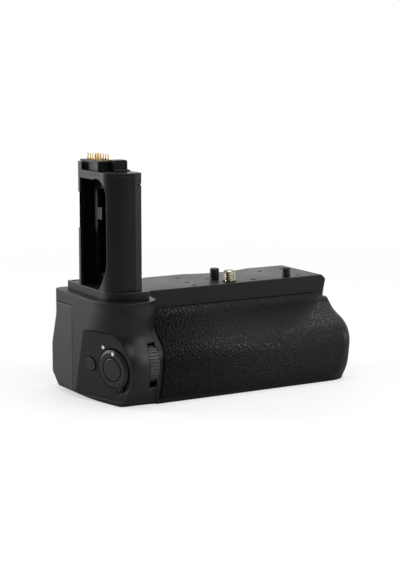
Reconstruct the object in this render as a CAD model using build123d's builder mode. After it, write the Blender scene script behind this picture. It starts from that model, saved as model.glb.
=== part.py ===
"""Camera battery grip: a hand grip that bolts under a camera and carries two batteries.

Millimetres, +Z up. The origin is the mouth of the tripod socket, in the base plane, straight
below the camera screw. X runs along the grip: the controls and the battery tower are at -X,
the battery tray slides out at +X. The hand grip faces -Y, the camera's back faces +Y.
"""

import os
from math import cos, pi, radians, sin

from build123d import *

os.makedirs("parts", exist_ok=True)

# Body
body_length = 145.2
body_height = 52.0
screw_to_left = 87.5
band_reach = 5.7
grip_reach = 31.2
rear_reach = 33.3
step_height = 38.8
shoulder_height = 26.2
heel_height = 7.5
toe_reach = 29.2
rear_toe_reach = 25.0
step_radius = 5.0
shoulder_radius = 11.0
heel_radius = 16.0
rear_heel_radius = 5.0
end_radius = 1.2
end_bevel = 3.6
end_sections = [
    (0, 13.0),
    (4.0, 11.0),
    (8.0, 9.2),
    (12.0, 7.9),
    (16.0, 7.0),
    (20.0, 6.4),
    (24.0, 6.0),
    (28.0, 5.2),
    (32.0, 4.0),
    (36.0, 2.8),
    (40.0, 2.0),
    (body_height, 1.6),
]
foot_bevel_length = 12.0
foot_bevel_height = 3.8
seam_width = 0.3
seam_depth = 0.35

# Control end
control_length = 33.0
control_rear_reach = 28.0
horn_from_left = 27.9
corner_from_left = 13.5
corner_reach = 21.5
front_reach = 36.6
control_sections = [
    (0, 26.8, 28.2),
    (3.0, 29.9, 29.4),
    (7.0, 32.9, 30.4),
    (13.0, 35.7, 31.3),
    (20.0, front_reach, 31.6),
    (26.0, 35.4, 30.8),
    (30.0, 33.5, 28.8),
    (34.0, 32.1, 27.0),
    (39.0, 32.6, 26.9),
    (45.0, 34.6, 28.4),
    (body_height, 35.8, 29.4),
]
thumb_height = 24.0
thumb_top = 40.0
thumb_length = 46.0
thumb_run_out = 10.0
thumb_radius = 12.0
corner_radius = 5.0

# Control facet, the tilted face with the release button
facet_yaw = 17.8
facet_pitch = 5.0
facet_top = 16.9
facet_radius = 16.2
facet_offset = 3.4
facet_taper = 38.0
facet_depth = 12.0
control_from_left = 7.4
control_reach = 24.4
control_height = 18.8

# Joints between the shells
base_thickness = 2.6
frame_height = 6.2
parting_reach = 6.2
plate_thickness = 1.6
plate_front = 2.6
plate_from_left = 39.5
plate_end_gap = 4.6
fit_gap = 0.3
run_gap = 0.05
over = 20.0

# Rubber skins
rubber_depth = 1.2
rubber_proud = 0.3
rubber_top = 42.7
rubber_start = 42.1
rubber_waist = 31.3
rubber_waist_height = 20.0
rubber_foot = 29.4
rubber_end_gap = 7.2
rubber_end_bend = 20.0
rubber_end_curve = 5.6
rubber_corner = 3.0
pad_from_left = 6.0
pad_length = 34.0
pad_low = 5.5
pad_high = 32.0
pad_corner = 4.0

# Batteries, tray and bay
battery_length = 56.0
battery_width = 40.0
battery_height = 20.5
battery_play = 0.6
tray_wall = 1.3
tray_floor = 1.4
bay_floor = 6.4
bay_front_reach = 15.0
tray_window_length = 34.0
tray_window_height = 12.0
tray_hole_radius = 9.0
cap_thickness = 4.0
cap_rim = 2.2
cap_radius = 4.0
cap_gap = 0.3
seal_width = 1.2
seal_depth = 0.8
leaf_thickness = 0.3
leaf_width = 2.2
leaf_height = 9.0
leaf_pitch = 5.0
leaf_count = 4
pad_contact_size = 3.0
pad_contact_pitch = 4.4
pad_contact_depth = 0.4
pad_contact_count = 4
contact_block_depth = 3.0
contact_block_height = 10.0

# Tray latch
latch_radius = 8.2
latch_depth = 2.4
latch_height = 2.0
latch_bar_width = 3.2
latch_shaft_radius = 2.0
latch_cam_thickness = 1.6
latch_cam_width = 5.0
latch_cam_reach = 13.5
latch_hub_radius = 4.0
tray_lug_width = 5.5

# Frame and tripod bush
frame_thickness = 1.2
frame_left = 14.0
frame_right_gap = 26.7
bush_radius = 6.0
bush_height = 5.8
bush_thread_radius = 2.55
bush_thread_depth = 5.0

# Camera screw, gears and attachment wheel
gear_module = 1.0
wheel_teeth = 22
screw_teeth = 23
gear_thickness = 2.8
gear_backlash = 0.35
gear_addendum = 0.85
gear_dedendum = 1.2
wheel_radius = 14.0
wheel_thickness = 6.0
wheel_ribs = 36
wheel_rib_depth = 0.6
wheel_axle_radius = 1.6
wheel_hub_radius = 4.0
wheel_bearing = 60.0
notch_radius = 46.0
notch_depth = 4.3
notch_low = 37.0
screw_radius = 3.175
screw_reach = 5.9
screw_neck_radius = 2.4
screw_neck_length = 1.6
screw_shaft_radius = 2.6
screw_pivot_radius = 1.5
screw_slot_width = 1.2
screw_slot_depth = 1.4
screw_chamfer = 0.5
ring_radius = 4.4
ring_bore = 3.5
ring_height = 2.2
ring_sink = 0.2

# Locating pins
pin_a_radius = 2.4
pin_a_reach = 6.2
pin_a_x = -4.1
pin_a_y = 8.1
pin_b_radius = 2.1
pin_b_reach = 4.8
pin_b_from_end = 22.7
pin_b_y = -0.4
pin_root = 3.6
pin_shoulder = 0.6
pin_seat = 0.4
pin_chamfer = 0.5

# Small screws
screw_head_radius = 1.25
screw_head_depth = 1.0
screw_head_sink = 0.3
base_screw_radius = 2.2
base_screw_depth = 1.2
deck_screw_shares = [
    (0.30, 0.73),
    (0.27, 0.35),
    (0.255, 0.085),
    (0.415, 0.465),
    (0.40, 0.155),
    (0.615, 0.125),
    (0.79, 0.675),
    (0.94, 0.74),
    (0.89, 0.13),
]
base_screw_shares = [(0.09, 0.5), (0.12, 0.93), (0.46, 0.06), (0.5, 0.95), (0.95, 0.14), (0.95, 0.88)]

# Release button, lock ring and function button
ring_control_radius = 9.7
ring_control_bore = 6.2
ring_control_height = 2.5
ring_control_recess = 1.3
ring_control_gap = 0.7
ring_tab_reach = 11.9
ring_tab_width = 5.4
ring_tab_angle = -74.0
ring_turn = 33.0
ring_rib_width = 0.7
ring_dot_radius = 0.9
ring_dot_reach = 8.0
ring_dot_side = 1.2
ring_slope = 1.3
ring_slope_height = 1.0
body_dot_reach = 12.0
body_dot_angle = 123.0
dot_depth = 0.3
button_radius = 5.75
button_rise = 1.7
button_dome = 0.5
button_collar_radius = 6.9
button_collar_height = 1.1
button_stem_radius = 1.6
button_stem_length = 1.4
small_button_radius = 3.4
small_button_rise = 0.6
small_button_from_centre = 15.8
small_button_height = 0.4
small_button_collar_radius = 4.3
facet_wall = 3.0
room_back = 21.4
room_front = 8.0
room_half_height = 9.6
room_depth = 8.4
board_thickness = 1.0
switch_size = 6.0
switch_height = 3.0

# Dials
front_dial_radius = 9.2
front_dial_width = 4.8
front_dial_from_left = 24.5
front_dial_height = 20.2
front_dial_reach = 35.0
front_slot_height = 21.6
dial_gap = 0.35
dial_ribs = 34
dial_rib_depth = 0.5
dial_axle_radius = 1.3
dial_axle_length = 8.0
rear_dial_radius = 8.4
rear_dial_width = 4.4
rear_dial_from_left = 17.0
rear_dial_height = 41.4
rear_dial_proud = 1.2
rear_slot_width = 14.5

# Rear buttons
rear_button_radius = 3.6
rear_button_rise = 0.9
rear_button_height = 40.8
rear_button_first = 33.2
rear_button_pitch = 9.6
rear_button_count = 2
rear_button_collar = 0.6
rear_button_wall = 1.9
rear_room_depth = 6.4
rear_switch_size = 3.4
rear_switch_height = 1.4
rear_board_thickness = 1.0

# Battery tower
tower_from_left = 5.3
tower_width = 17.4
tower_front_reach = 26.0
tower_depth = 40.6
tower_height = 61.4
tower_front_radius = 9.9
tower_back_radius = 8.3
tower_small_radius = 2.6
tower_strip = 3.8
tower_strip_back = 1.1
tower_wall = 1.6
tower_cut_front_reach = 20.0
tower_cut_rear = 6.2
tower_cut_drop = 4.0
tower_cut_crown_drop = 11.7
tower_cut_heel_share = 0.253
tower_cut_crown_reach = 8.0
tower_cut_heel_reach = 12.6
tower_post_low_share = 0.486
tower_post_drop = 11.2
tower_post_rear = 12.4
liner_depth = 8.6
liner_wall = 1.4
liner_radius = 4.0
liner_front_reach = 21.6
liner_rear = 10.6
liner_slot_front_reach = 5.6
liner_slot_rear = 4.4
liner_slot_rise = 6.1
liner_slot_drop = 9.4
liner_slot_radius = 2.4
liner_tab_share = 0.566
liner_tab_height = 6.0
liner_tab_width = 4.7
tower_mark_width = 2.2
tower_mark_height = 0.9
tower_mark_drop = 6.2
tower_mark_depth = 0.8
cap_plate = 1.6
cap_spigot = 2.2
cap_post_height = 3.8
cap_post_width = 1.9
cap_post_front = 4.4
cap_post_rear = 12.0
flange_height = 4.2
flange_from_left = 4.9
flange_length = 20.4
flange_front_reach = 29.4
flange_rear = 22.0
flange_front_radius = 14.0
flange_small_radius = 2.0
flange_slot_length = 6.0
flange_slot_width = 1.6
gasket_thickness = 0.5
gasket_inset = 1.2
gasket_width = 1.6

# Tower connector
connector_from_left = 7.9
connector_width = 9.4
connector_front_reach = 8.3
connector_depth = 18.1
connector_height = 3.9
connector_lip = 0.4
connector_plate = 0.8
contact_radius = 0.42
contact_rise = 3.2
contact_root = 2.4
contact_pitch = 2.6
contact_row_gap = 4.4
contacts_in_row = 6
contact_rows = 2
key_from_left = 13.9
key_width = 7.2
key_front_reach = 13.8
key_depth = 5.1
key_height = 5.4
key_radius = 1.2
key_plinth = 0.6

# Main board in the top frame
main_board_length = 34.0
main_board_width = 19.0
main_board_from_left = 41.0
main_board_front = 5.6
main_board_drop = 5.4
main_chip_size = 8.0
main_chip_height = 1.2


# Places worked out from the sizes above
x_left = -screw_to_left
x_right = body_length - screw_to_left
x_control = x_left + control_length
z_screw_head = body_height - screw_head_depth - screw_head_sink
x_horn = x_left + horn_from_left
frame_low = body_height - frame_height
pocket_length = battery_length + battery_play
tray_length = 2 * pocket_length + 3 * tray_wall
tray_width = battery_width + battery_play + 2 * tray_wall
tray_height = tray_floor + battery_height + battery_play
x_cap = x_right - cap_thickness
frame_right = x_cap - frame_right_gap
pin_b_x = x_right - pin_b_from_end
cam_room_length = latch_cam_thickness + 2 * fit_gap
x_tray_wall = x_cap - cam_room_length
x_tray_end = x_tray_wall - tray_length
x_bay_end = x_tray_end - fit_gap
bay_width = tray_width + 2 * fit_gap
y_bay = -bay_front_reach + bay_width / 2
bay_height = tray_height + 2 * fit_gap
bay_top = bay_floor + bay_height
gear_radius_wheel = gear_module * wheel_teeth / 2
gear_radius_screw = gear_module * screw_teeth / 2
gear_distance = gear_radius_wheel + gear_radius_screw
x_wheel = gear_distance * cos(radians(wheel_bearing))
y_wheel = gear_distance * sin(radians(wheel_bearing))
z_frame_top = bay_top + frame_thickness
z_gear = z_frame_top + fit_gap
z_wheel = notch_low + 1.3 * fit_gap
deck = body_height
z_tower = deck + flange_height
z_tower_top = deck + tower_height
z_cap = z_tower_top - cap_plate
x_tower = x_left + tower_from_left
y_tower = -tower_front_reach
y_tower_rear = tower_depth - tower_front_reach
tower_side = z_tower_top - z_tower
tower_cut_top = z_tower_top - tower_cut_drop
tower_cut_crown = z_tower_top - tower_cut_crown_drop
tower_cut_heel = z_tower + tower_cut_heel_share * tower_side
tower_post_low = z_tower + tower_post_low_share * tower_side
tower_post_high = z_tower_top - tower_post_drop
liner_slot_low = z_tower + liner_slot_rise
liner_slot_high = z_tower_top - liner_slot_drop
liner_tab_low = z_tower + liner_tab_share * tower_side
liner_tab_high = liner_tab_low + liner_tab_height


def at_origin(x, y, z, x_dir=(1, 0, 0), z_dir=(0, 0, 1)):
    """Plane at a point, facing z_dir."""
    return Plane(origin=(x, y, z), x_dir=x_dir, z_dir=z_dir)


yaw = radians(facet_yaw)
pitch = radians(facet_pitch)
facet = Plane(
    origin=(x_left + control_from_left, -control_reach, control_height),
    x_dir=(sin(yaw), -cos(yaw), 0),
    z_dir=(-cos(pitch) * cos(yaw), -cos(pitch) * sin(yaw), -sin(pitch)),
)


def long_profile(x, grow=0.0):
    """Section of the long hand grip at x, grown outwards."""
    with BuildSketch(Plane.YZ.offset(x)) as section:
        with BuildLine():
            FilletPolyline(
                (rear_reach, body_height),
                (-band_reach, body_height),
                (-band_reach, step_height),
                (-grip_reach, shoulder_height),
                (-grip_reach, heel_height),
                (-toe_reach, 0),
                (rear_toe_reach, 0),
                (rear_reach, heel_height),
                radius=[0, 0, step_radius, shoulder_radius, heel_radius, 0, 0, rear_heel_radius],
                close=True,
            )
        make_face()
        if grow:
            offset(amount=grow)
    return section.sketch


def control_plan(z, reach, tip_reach):
    """Plan of the control end's front at height z, with its horn on the right."""
    with BuildSketch(Plane.XY.offset(z)) as section:
        with BuildLine():
            centre = (x_left + corner_from_left, corner_reach - reach)
            corner = EllipticalCenterArc(centre, corner_from_left, corner_reach, 180, arc_size=90)
            cheek = TangentArc(corner @ 1, (x_horn, -tip_reach), tangent=(1, 0))
            Polyline(cheek @ 1, (x_control, -band_reach), (x_control, 0), (x_left, 0), corner @ 0)
        make_face()
    return section.sketch


def thumb_profile(x, grow=0.0, back=control_rear_reach):
    """Section of the control end's rear, with its bulge for the thumb."""
    with BuildSketch(Plane.YZ.offset(x)) as section:
        with BuildLine():
            FilletPolyline(
                (0, 0),
                (rear_toe_reach, 0),
                (rear_reach, heel_height),
                (rear_reach, thumb_height),
                (back, thumb_top),
                (back, body_height),
                (0, body_height),
                radius=[0, 0, rear_heel_radius, thumb_radius, thumb_radius, 0, 0],
                close=True,
            )
        make_face()
        if grow:
            offset(amount=grow)
    return section.sketch


def block(x, y, z, x_size, y_size, z_size):
    """Box from its lowest corner and its sizes."""
    middle = Pos(x + x_size / 2, y + y_size / 2, z + z_size / 2)
    return middle * Box(x_size, y_size, z_size, mode=Mode.PRIVATE)


def front_at(z):
    """How far the long section reaches forward at height z."""
    window = block(-over, -over - grip_reach, z - run_gap, 2 * over, over + grip_reach, 2 * run_gap)
    strip = long_profile(0) & window
    return -strip.bounding_box().min.Y


def corner_plan(z, radius):
    """What a rounded corner of the long grip's end leaves out at height z."""
    front = -front_at(z)
    with BuildSketch(Plane.XY.offset(z)) as section:
        with BuildLine():
            corner = CenterArc((x_right - radius, front + radius), radius, 270, 90)
            Polyline(
                corner @ 1,
                (x_right + over, front + radius),
                (x_right + over, front - over),
                (x_right - radius, front - over),
                corner @ 0,
            )
        make_face()
    return section.sketch


# Outer form of the whole body
with BuildPart() as body:
    extrude(long_profile(x_horn), amount=x_right - x_horn)
    end_edges = body.edges().group_by(Axis.X)[-1]
    fillet(end_edges.filter_by_position(Axis.Y, rear_toe_reach, rear_reach), radius=end_radius)
    with BuildSketch(Plane.XZ.offset(-rear_reach - over)):
        with BuildLine():
            Polyline(
                (x_right - end_bevel, body_height),
                (x_right, body_height - end_bevel),
                (x_right + over, body_height - end_bevel),
                (x_right + over, body_height + over),
                (x_right - end_bevel, body_height + over),
                close=True,
            )
        make_face()
    extrude(amount=2 * over + rear_reach + band_reach, mode=Mode.SUBTRACT)
    loft([corner_plan(*section) for section in end_sections], mode=Mode.SUBTRACT)
    step_length = thumb_length + thumb_run_out - horn_from_left
    step = block(x_horn, parting_reach, -over, step_length, over + rear_reach, 2 * over + body_height)
    add(step, mode=Mode.SUBTRACT)

with BuildPart() as control_rear:
    extrude(thumb_profile(x_left), amount=thumb_length)
    end_edges = control_rear.edges().group_by(Axis.X)[0]
    fillet(end_edges.filter_by_position(Axis.Y, rear_toe_reach, rear_reach), radius=corner_radius)
    x_run_out = x_left + thumb_length
    run_out_end = thumb_profile(x_run_out + thumb_run_out, 0, rear_reach - run_gap)
    loft([thumb_profile(x_run_out), run_out_end], ruled=True)

with BuildPart() as control_front:
    loft([control_plan(*section) for section in control_sections])

with BuildPart() as form:
    add(body.part)
    add(control_rear.part)
    add(control_front.part)
    with BuildSketch(facet) as facet_cut:
        with BuildLine():
            arc = CenterArc((-facet_offset, facet_top - facet_radius), facet_radius, 0, 90)
            Polyline(
                arc @ 1,
                (-over - facet_radius, facet_top),
                (-over - facet_radius, -over - facet_radius),
                (over + facet_radius, -over - facet_radius),
                (over + facet_radius, -facet_radius),
                arc @ 0,
            )
        make_face()
    extrude(facet_cut.sketch, amount=facet_depth, taper=-facet_taper, mode=Mode.SUBTRACT)
    with BuildSketch(Plane.XZ.offset(-rear_reach - over)):
        with BuildLine():
            foot_centre = (x_left + foot_bevel_length, foot_bevel_height)
            foot = EllipticalCenterArc(foot_centre, foot_bevel_length, foot_bevel_height, 180, arc_size=90)
            Polyline(
                foot @ 1,
                (x_left + foot_bevel_length, -over),
                (x_left - over, -over),
                (x_left - over, foot_bevel_height),
                foot @ 0,
            )
        make_face()
    extrude(amount=2 * over + rear_reach + front_reach, mode=Mode.SUBTRACT)


def publish(builder, name):
    """Label a finished piece and write it under its name."""
    builder.part.label = name
    export_step(builder.part, f"parts/{name}.step")


def upright(x, y, z, radius, height):
    """Vertical cylinder standing at a point."""
    return Pos(x, y, z + height / 2) * Cylinder(radius, height, mode=Mode.PRIVATE)


def facet_disc(u, v, w, radius, height):
    """Cylinder standing on the control facet, w above it."""
    return facet * Pos(u, v, w + height / 2) * Cylinder(radius, height, mode=Mode.PRIVATE)


def facet_block(u, v, w, u_size, v_size, w_size):
    """Box in the control facet's own directions, from its lowest corner."""
    shape = Box(u_size, v_size, w_size, mode=Mode.PRIVATE)
    return facet * Pos(u + u_size / 2, v + v_size / 2, w + w_size / 2) * shape


def gear(teeth, z, phase, shaft_radius):
    """Spur gear standing at z round the origin, first tooth at phase degrees."""
    pitch_radius = gear_module * teeth / 2
    root_radius = pitch_radius - gear_dedendum * gear_module
    tip_radius = pitch_radius + gear_addendum * gear_module
    half_pitch = pi * gear_module / 4 - gear_backlash / 2
    flank = gear_module / 3
    with BuildPart() as wheel:
        with BuildSketch(Plane.XY.offset(z)):
            Circle(root_radius)
            with PolarLocations(0, teeth, start_angle=phase):
                with BuildLine():
                    Polyline(
                        (root_radius - gear_backlash, -half_pitch - flank),
                        (root_radius - gear_backlash, half_pitch + flank),
                        (tip_radius, half_pitch - flank),
                        (tip_radius, flank - half_pitch),
                        close=True,
                    )
                make_face()
            Circle(shaft_radius, mode=Mode.SUBTRACT)
        extrude(amount=gear_thickness)
    return wheel.part


# Rooms inside the shells
z_bay_mid = bay_floor + bay_height / 2
y_room = y_bay - bay_width / 2
bay_room = block(x_bay_end, y_room, bay_floor, x_right - x_bay_end + over, bay_width, bay_height)
cap_width = bay_width + 2 * cap_rim
cap_height = bay_height + cap_rim
seal_inner_width = cap_width - 2 * seal_depth
seal_inner_height = cap_height - 2 * seal_depth
seal_corner = cap_radius - seal_depth
with BuildPart() as cap_room:
    with BuildSketch(Plane.YZ.offset(x_cap - fit_gap)):
        with Locations((y_bay, z_bay_mid)):
            RectangleRounded(cap_width + 2 * cap_gap, cap_height + 2 * cap_gap, cap_radius + cap_gap)
    extrude(amount=cap_thickness + over)
x_block = x_bay_end - contact_block_depth
block_width = pad_contact_count * pad_contact_pitch
block_room = block(
    x_block, y_bay - block_width / 2, z_bay_mid - contact_block_height / 2,
    contact_block_depth, block_width, contact_block_height,
)
with BuildPart() as cam_slot:
    with BuildSketch(Plane.YZ.offset(x_tray_wall)):
        with Locations((y_bay, z_bay_mid)):
            Circle(latch_cam_reach + fit_gap)
    extrude(amount=cam_room_length)
wheel_room_radius = wheel_radius + 2 * fit_gap
wheel_room = upright(x_wheel, y_wheel, z_wheel - fit_gap, wheel_room_radius, wheel_thickness + 2 * fit_gap)
gear_top = z_gear + gear_thickness
gear_room_radius = gear_radius_wheel + 4 * fit_gap
screw_room_radius = gear_radius_screw + 4 * fit_gap
gear_rooms = [
    upright(x_wheel, y_wheel, z_frame_top, gear_room_radius, gear_top + fit_gap - z_frame_top),
    upright(0, 0, z_frame_top, screw_room_radius, gear_top + fit_gap - z_frame_top),
    upright(x_wheel, y_wheel, z_frame_top, wheel_hub_radius + fit_gap, z_wheel - z_frame_top),
    upright(0, 0, z_frame_top, screw_shaft_radius + run_gap, body_height - z_frame_top),
]
ring_room = upright(0, 0, body_height - ring_height - ring_sink, ring_radius, ring_height + over)
pin_rooms = [
    upright(pin_a_x, pin_a_y, body_height - pin_root, pin_a_radius - pin_shoulder, pin_root + over),
    upright(pin_a_x, pin_a_y, body_height - pin_seat, pin_a_radius, over),
    upright(pin_b_x, pin_b_y, body_height - pin_root, pin_b_radius - pin_shoulder, pin_root + over),
    upright(pin_b_x, pin_b_y, body_height - pin_seat, pin_b_radius, over),
]
with BuildPart() as frame_ring:
    with BuildSketch(Plane.YZ.offset(-frame_left)):
        with Locations((y_bay, z_bay_mid)):
            Rectangle(bay_width + 2 * frame_thickness, bay_height + 2 * frame_thickness)
            Rectangle(bay_width, bay_height, mode=Mode.SUBTRACT)
    extrude(amount=frame_left + frame_right)
x_board = x_left + main_board_from_left
z_board = body_height - main_board_drop
board_room = block(
    x_board - fit_gap,
    main_board_front - fit_gap,
    z_board - fit_gap,
    main_board_length + 2 * fit_gap,
    main_board_width + 2 * fit_gap,
    body_height - plate_thickness - z_board + fit_gap,
)
control_room = facet_block(
    -room_back, -room_half_height, -facet_wall - room_depth,
    room_back + room_front, 2 * room_half_height, room_depth,
)
x_front_dial = x_left + front_dial_from_left
y_front_dial = front_dial_radius - front_dial_reach
front_slot_width = front_dial_width + 2 * dial_gap
with BuildPart() as front_dial_room:
    with BuildSketch(Plane.YZ.offset(x_front_dial - front_slot_width / 2)):
        with Locations((y_front_dial, front_dial_height)):
            Circle(front_dial_radius + dial_gap)
            Rectangle(over, front_slot_height, align=(Align.MAX, Align.CENTER))
    extrude(amount=front_slot_width)
    with BuildSketch(Plane.YZ.offset(x_front_dial - dial_axle_length / 2)):
        with Locations((y_front_dial, front_dial_height)):
            Circle(dial_axle_radius)
    extrude(amount=dial_axle_length)
x_rear_dial = x_left + rear_dial_from_left
y_rear_dial = control_rear_reach + rear_dial_proud - rear_dial_radius
with BuildPart() as rear_dial_room:
    with BuildSketch(Plane.XY.offset(rear_dial_height - rear_dial_width / 2 - dial_gap)):
        with Locations((x_rear_dial, y_rear_dial)):
            Circle(rear_dial_radius + dial_gap)
            Rectangle(rear_slot_width, over, align=(Align.CENTER, Align.MIN))
    extrude(amount=rear_dial_width + 2 * dial_gap)
rear_axle_low = rear_dial_height - dial_axle_length / 2
rear_dial_axle_room = upright(x_rear_dial, y_rear_dial, rear_axle_low, dial_axle_radius, dial_axle_length)
rear_button_spots = [
    x_left + rear_button_first + rear_button_pitch * number for number in range(rear_button_count)
]
y_rear_room = control_rear_reach - rear_button_wall - rear_room_depth
rear_room_radius = rear_button_radius + rear_button_collar + fit_gap


def across_rear(x, z, y, radius, length):
    """Cylinder lying along +Y from a point in the rear wall."""
    lying = Cylinder(radius, length, rotation=(90, 0, 0), mode=Mode.PRIVATE)
    return Pos(x, y + length / 2, z) * lying


# The facet's holes and recesses, made from outside inwards
with BuildPart() as facet_holes:
    add(facet_disc(0, 0, -ring_control_recess, ring_control_radius + ring_control_gap, over))
    for angle in (ring_tab_angle, ring_tab_angle + ring_turn):
        with BuildSketch(facet.offset(-ring_control_recess)):
            with Locations(Rotation(0, 0, angle)):
                SlotOverall(2 * ring_tab_reach + 2 * ring_control_gap, ring_tab_width + 2 * ring_control_gap)
                Rectangle(over, over, align=(Align.MAX, Align.CENTER), mode=Mode.SUBTRACT)
        extrude(amount=over)
    with BuildSketch(facet.offset(-ring_control_recess)):
        with BuildLine():
            sweep = CenterArc((0, 0), ring_tab_reach + ring_control_gap, ring_tab_angle, ring_turn)
            Polyline(sweep @ 1, (0, 0), sweep @ 0)
        make_face()
    extrude(amount=over)
    add(facet_disc(0, 0, -facet_wall, button_radius + fit_gap, over))
    bore_radius = small_button_radius + fit_gap
    add(facet_disc(-small_button_from_centre, small_button_height, -facet_wall, bore_radius, over))
    dot_x = body_dot_reach * cos(radians(body_dot_angle))
    dot_y = body_dot_reach * sin(radians(body_dot_angle))
    add(facet_disc(dot_x, dot_y, -dot_depth, ring_dot_radius, over))

# Front grip rubber, cut to its outline
with BuildPart() as rubber_outline:
    with BuildSketch(Plane.XZ.offset(-parting_reach)):
        with BuildLine():
            top_left = (x_left + rubber_start, rubber_top)
            waist = (x_left + rubber_waist, rubber_waist_height)
            hip = (waist[0] + (top_left[0] - waist[0]) / 4, (rubber_top + rubber_waist_height) / 2)
            edge = ThreePointArc(top_left, hip, waist)
            right = x_right - rubber_end_gap
            tail_end = (right - rubber_end_curve, base_thickness)
            tail = TangentArc((right, rubber_end_bend), tail_end, tangent=(0, -1))
            Polyline(waist, (x_left + rubber_foot, base_thickness), tail @ 1)
            Polyline(tail @ 0, (right, rubber_top), top_left)
        make_face()
        fillet(vertices().group_by(Axis.X)[-1].sort_by(Axis.Y)[-1], radius=rubber_corner)
    extrude(amount=front_reach + over)


def skin(profile, outline, start, length, proud, depth):
    """Skin that follows a profile, cut to an outline."""
    with BuildPart() as sheet:
        extrude(profile(start, proud), amount=length)
        extrude(profile(start, -depth), amount=length, mode=Mode.SUBTRACT)
        add(outline, mode=Mode.INTERSECT)
    return sheet


grip_rubber = skin(long_profile, rubber_outline.part, x_horn, x_right - x_horn, rubber_proud, rubber_depth)
publish(grip_rubber, "grip_rubber")

with BuildPart() as pad_outline:
    with BuildSketch(Plane.XZ.offset(-parting_reach)):
        with Locations((x_left + pad_from_left + pad_length / 2, (pad_low + pad_high) / 2)):
            RectangleRounded(pad_length, pad_high - pad_low, pad_corner)
    extrude(amount=-rear_reach - over)

thumb_reach = control_length + over
thumb_rubber = skin(thumb_profile, pad_outline.part, x_left, thumb_reach, rubber_proud, rubber_depth)
publish(thumb_rubber, "thumb_rubber")

# The shells, cut from the outer form
with BuildPart() as outer:
    add(form.part)
    with BuildSketch(Plane.XY.offset(notch_low)):
        with Locations((x_wheel, rear_reach - notch_depth + notch_radius)):
            Circle(notch_radius)
    extrude(amount=body_height, mode=Mode.SUBTRACT)
    seam_height = frame_low - base_thickness
    seam_start = parting_reach - seam_width
    seam = block(x_left, seam_start, base_thickness, seam_depth, seam_width, seam_height)
    add(seam, mode=Mode.SUBTRACT)
    add(block(x_left, parting_reach, frame_low, seam_depth, rear_reach, seam_width), mode=Mode.SUBTRACT)

rear_height = frame_low - base_thickness
rear_zone = block(x_left, parting_reach, base_thickness, body_length, over + rear_reach, rear_height)
base_depth = 2 * over + front_reach + rear_reach
base_zone = block(x_left, -over - front_reach, 0, body_length, base_depth, base_thickness)
x_plate = x_left + plate_from_left
plate_length = x_right - plate_end_gap - x_plate
z_plate = body_height - plate_thickness
plate_zone = block(x_plate, plate_front, z_plate, plate_length, rear_reach, plate_thickness)
deck_screw_spots = [
    (x_plate + plate_length * along, -band_reach + (rear_reach + band_reach) * across)
    for along, across in deck_screw_shares
]
base_screw_spots = [
    (x_left + body_length * along, -toe_reach + (rear_toe_reach + toe_reach) * across)
    for along, across in base_screw_shares
]
bush_room = upright(0, 0, 0, bush_radius, bush_height)

with BuildPart() as flange_plan:
    with BuildSketch(Plane.XY.offset(deck)):
        with BuildLine():
            FilletPolyline(
                (x_left + flange_from_left, flange_rear),
                (x_left + flange_from_left, -flange_front_reach),
                (x_left + flange_from_left + flange_length, -flange_front_reach),
                (x_left + flange_from_left + flange_length, flange_rear),
                radius=[flange_small_radius, flange_front_radius, flange_small_radius, flange_small_radius],
                close=True,
            )
        make_face()
    extrude(amount=flange_height)
    flange_face = flange_plan.faces().sort_by(Axis.Z)[0]

with BuildPart() as gasket:
    with BuildSketch(Plane.XY.offset(deck - gasket_thickness)):
        add(flange_face)
        offset(amount=-gasket_inset)
    extrude(amount=gasket_thickness)
    with BuildSketch(Plane.XY.offset(deck - gasket_thickness)):
        add(flange_face)
        offset(amount=-gasket_inset - gasket_width)
    extrude(amount=gasket_thickness, mode=Mode.SUBTRACT)
publish(gasket, "tower_gasket")

inside = [bay_room, cap_room.part, block_room, cam_slot.part, wheel_room, *gear_rooms, ring_room]
inside += [*pin_rooms, frame_ring.part, board_room]

with BuildPart() as front_shell:
    add(outer.part)
    add([rear_zone, base_zone, plate_zone], mode=Mode.SUBTRACT)
    add([grip_rubber.part, gasket.part, bush_room], mode=Mode.SUBTRACT)
    add(inside, mode=Mode.SUBTRACT)
    add([control_room, facet_holes.part, front_dial_room.part], mode=Mode.SUBTRACT)
    add(rear_dial_axle_room, mode=Mode.SUBTRACT)
    for x, y in deck_screw_spots:
        if y < plate_front:
            add(upright(x, y, z_screw_head, screw_head_radius, over), mode=Mode.SUBTRACT)

with BuildPart() as rear_shell:
    add(outer.part)
    add(rear_zone, mode=Mode.INTERSECT)
    add(thumb_rubber.part, mode=Mode.SUBTRACT)
    add(inside, mode=Mode.SUBTRACT)
    add([control_room, rear_dial_room.part, rear_dial_axle_room], mode=Mode.SUBTRACT)
    for x in rear_button_spots:
        room = across_rear(x, rear_button_height, y_rear_room, rear_room_radius, rear_room_depth)
        add(room, mode=Mode.SUBTRACT)
        bore = across_rear(x, rear_button_height, y_rear_room, rear_button_radius + fit_gap, over)
        add(bore, mode=Mode.SUBTRACT)

with BuildPart() as top_plate:
    add(outer.part)
    add(plate_zone, mode=Mode.INTERSECT)
    add([ring_room, *pin_rooms], mode=Mode.SUBTRACT)
    for x, y in deck_screw_spots:
        if y > plate_front:
            add(upright(x, y, z_screw_head, screw_head_radius, over), mode=Mode.SUBTRACT)

with BuildPart() as base_plate:
    add(outer.part)
    add(base_zone, mode=Mode.INTERSECT)
    add(bush_room, mode=Mode.SUBTRACT)
    for x, y in base_screw_spots:
        add(upright(x, y, 0, base_screw_radius, base_screw_depth), mode=Mode.SUBTRACT)

for piece, name in (
    (front_shell, "front_shell"),
    (rear_shell, "rear_shell"),
    (top_plate, "top_plate"),
    (base_plate, "base_plate"),
):
    publish(piece, name)

# Screws in the deck and in the base
with BuildPart() as deck_screws:
    for x, y in deck_screw_spots:
        add(upright(x, y, z_screw_head, screw_head_radius, screw_head_depth))
publish(deck_screws, "deck_screws")

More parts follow.
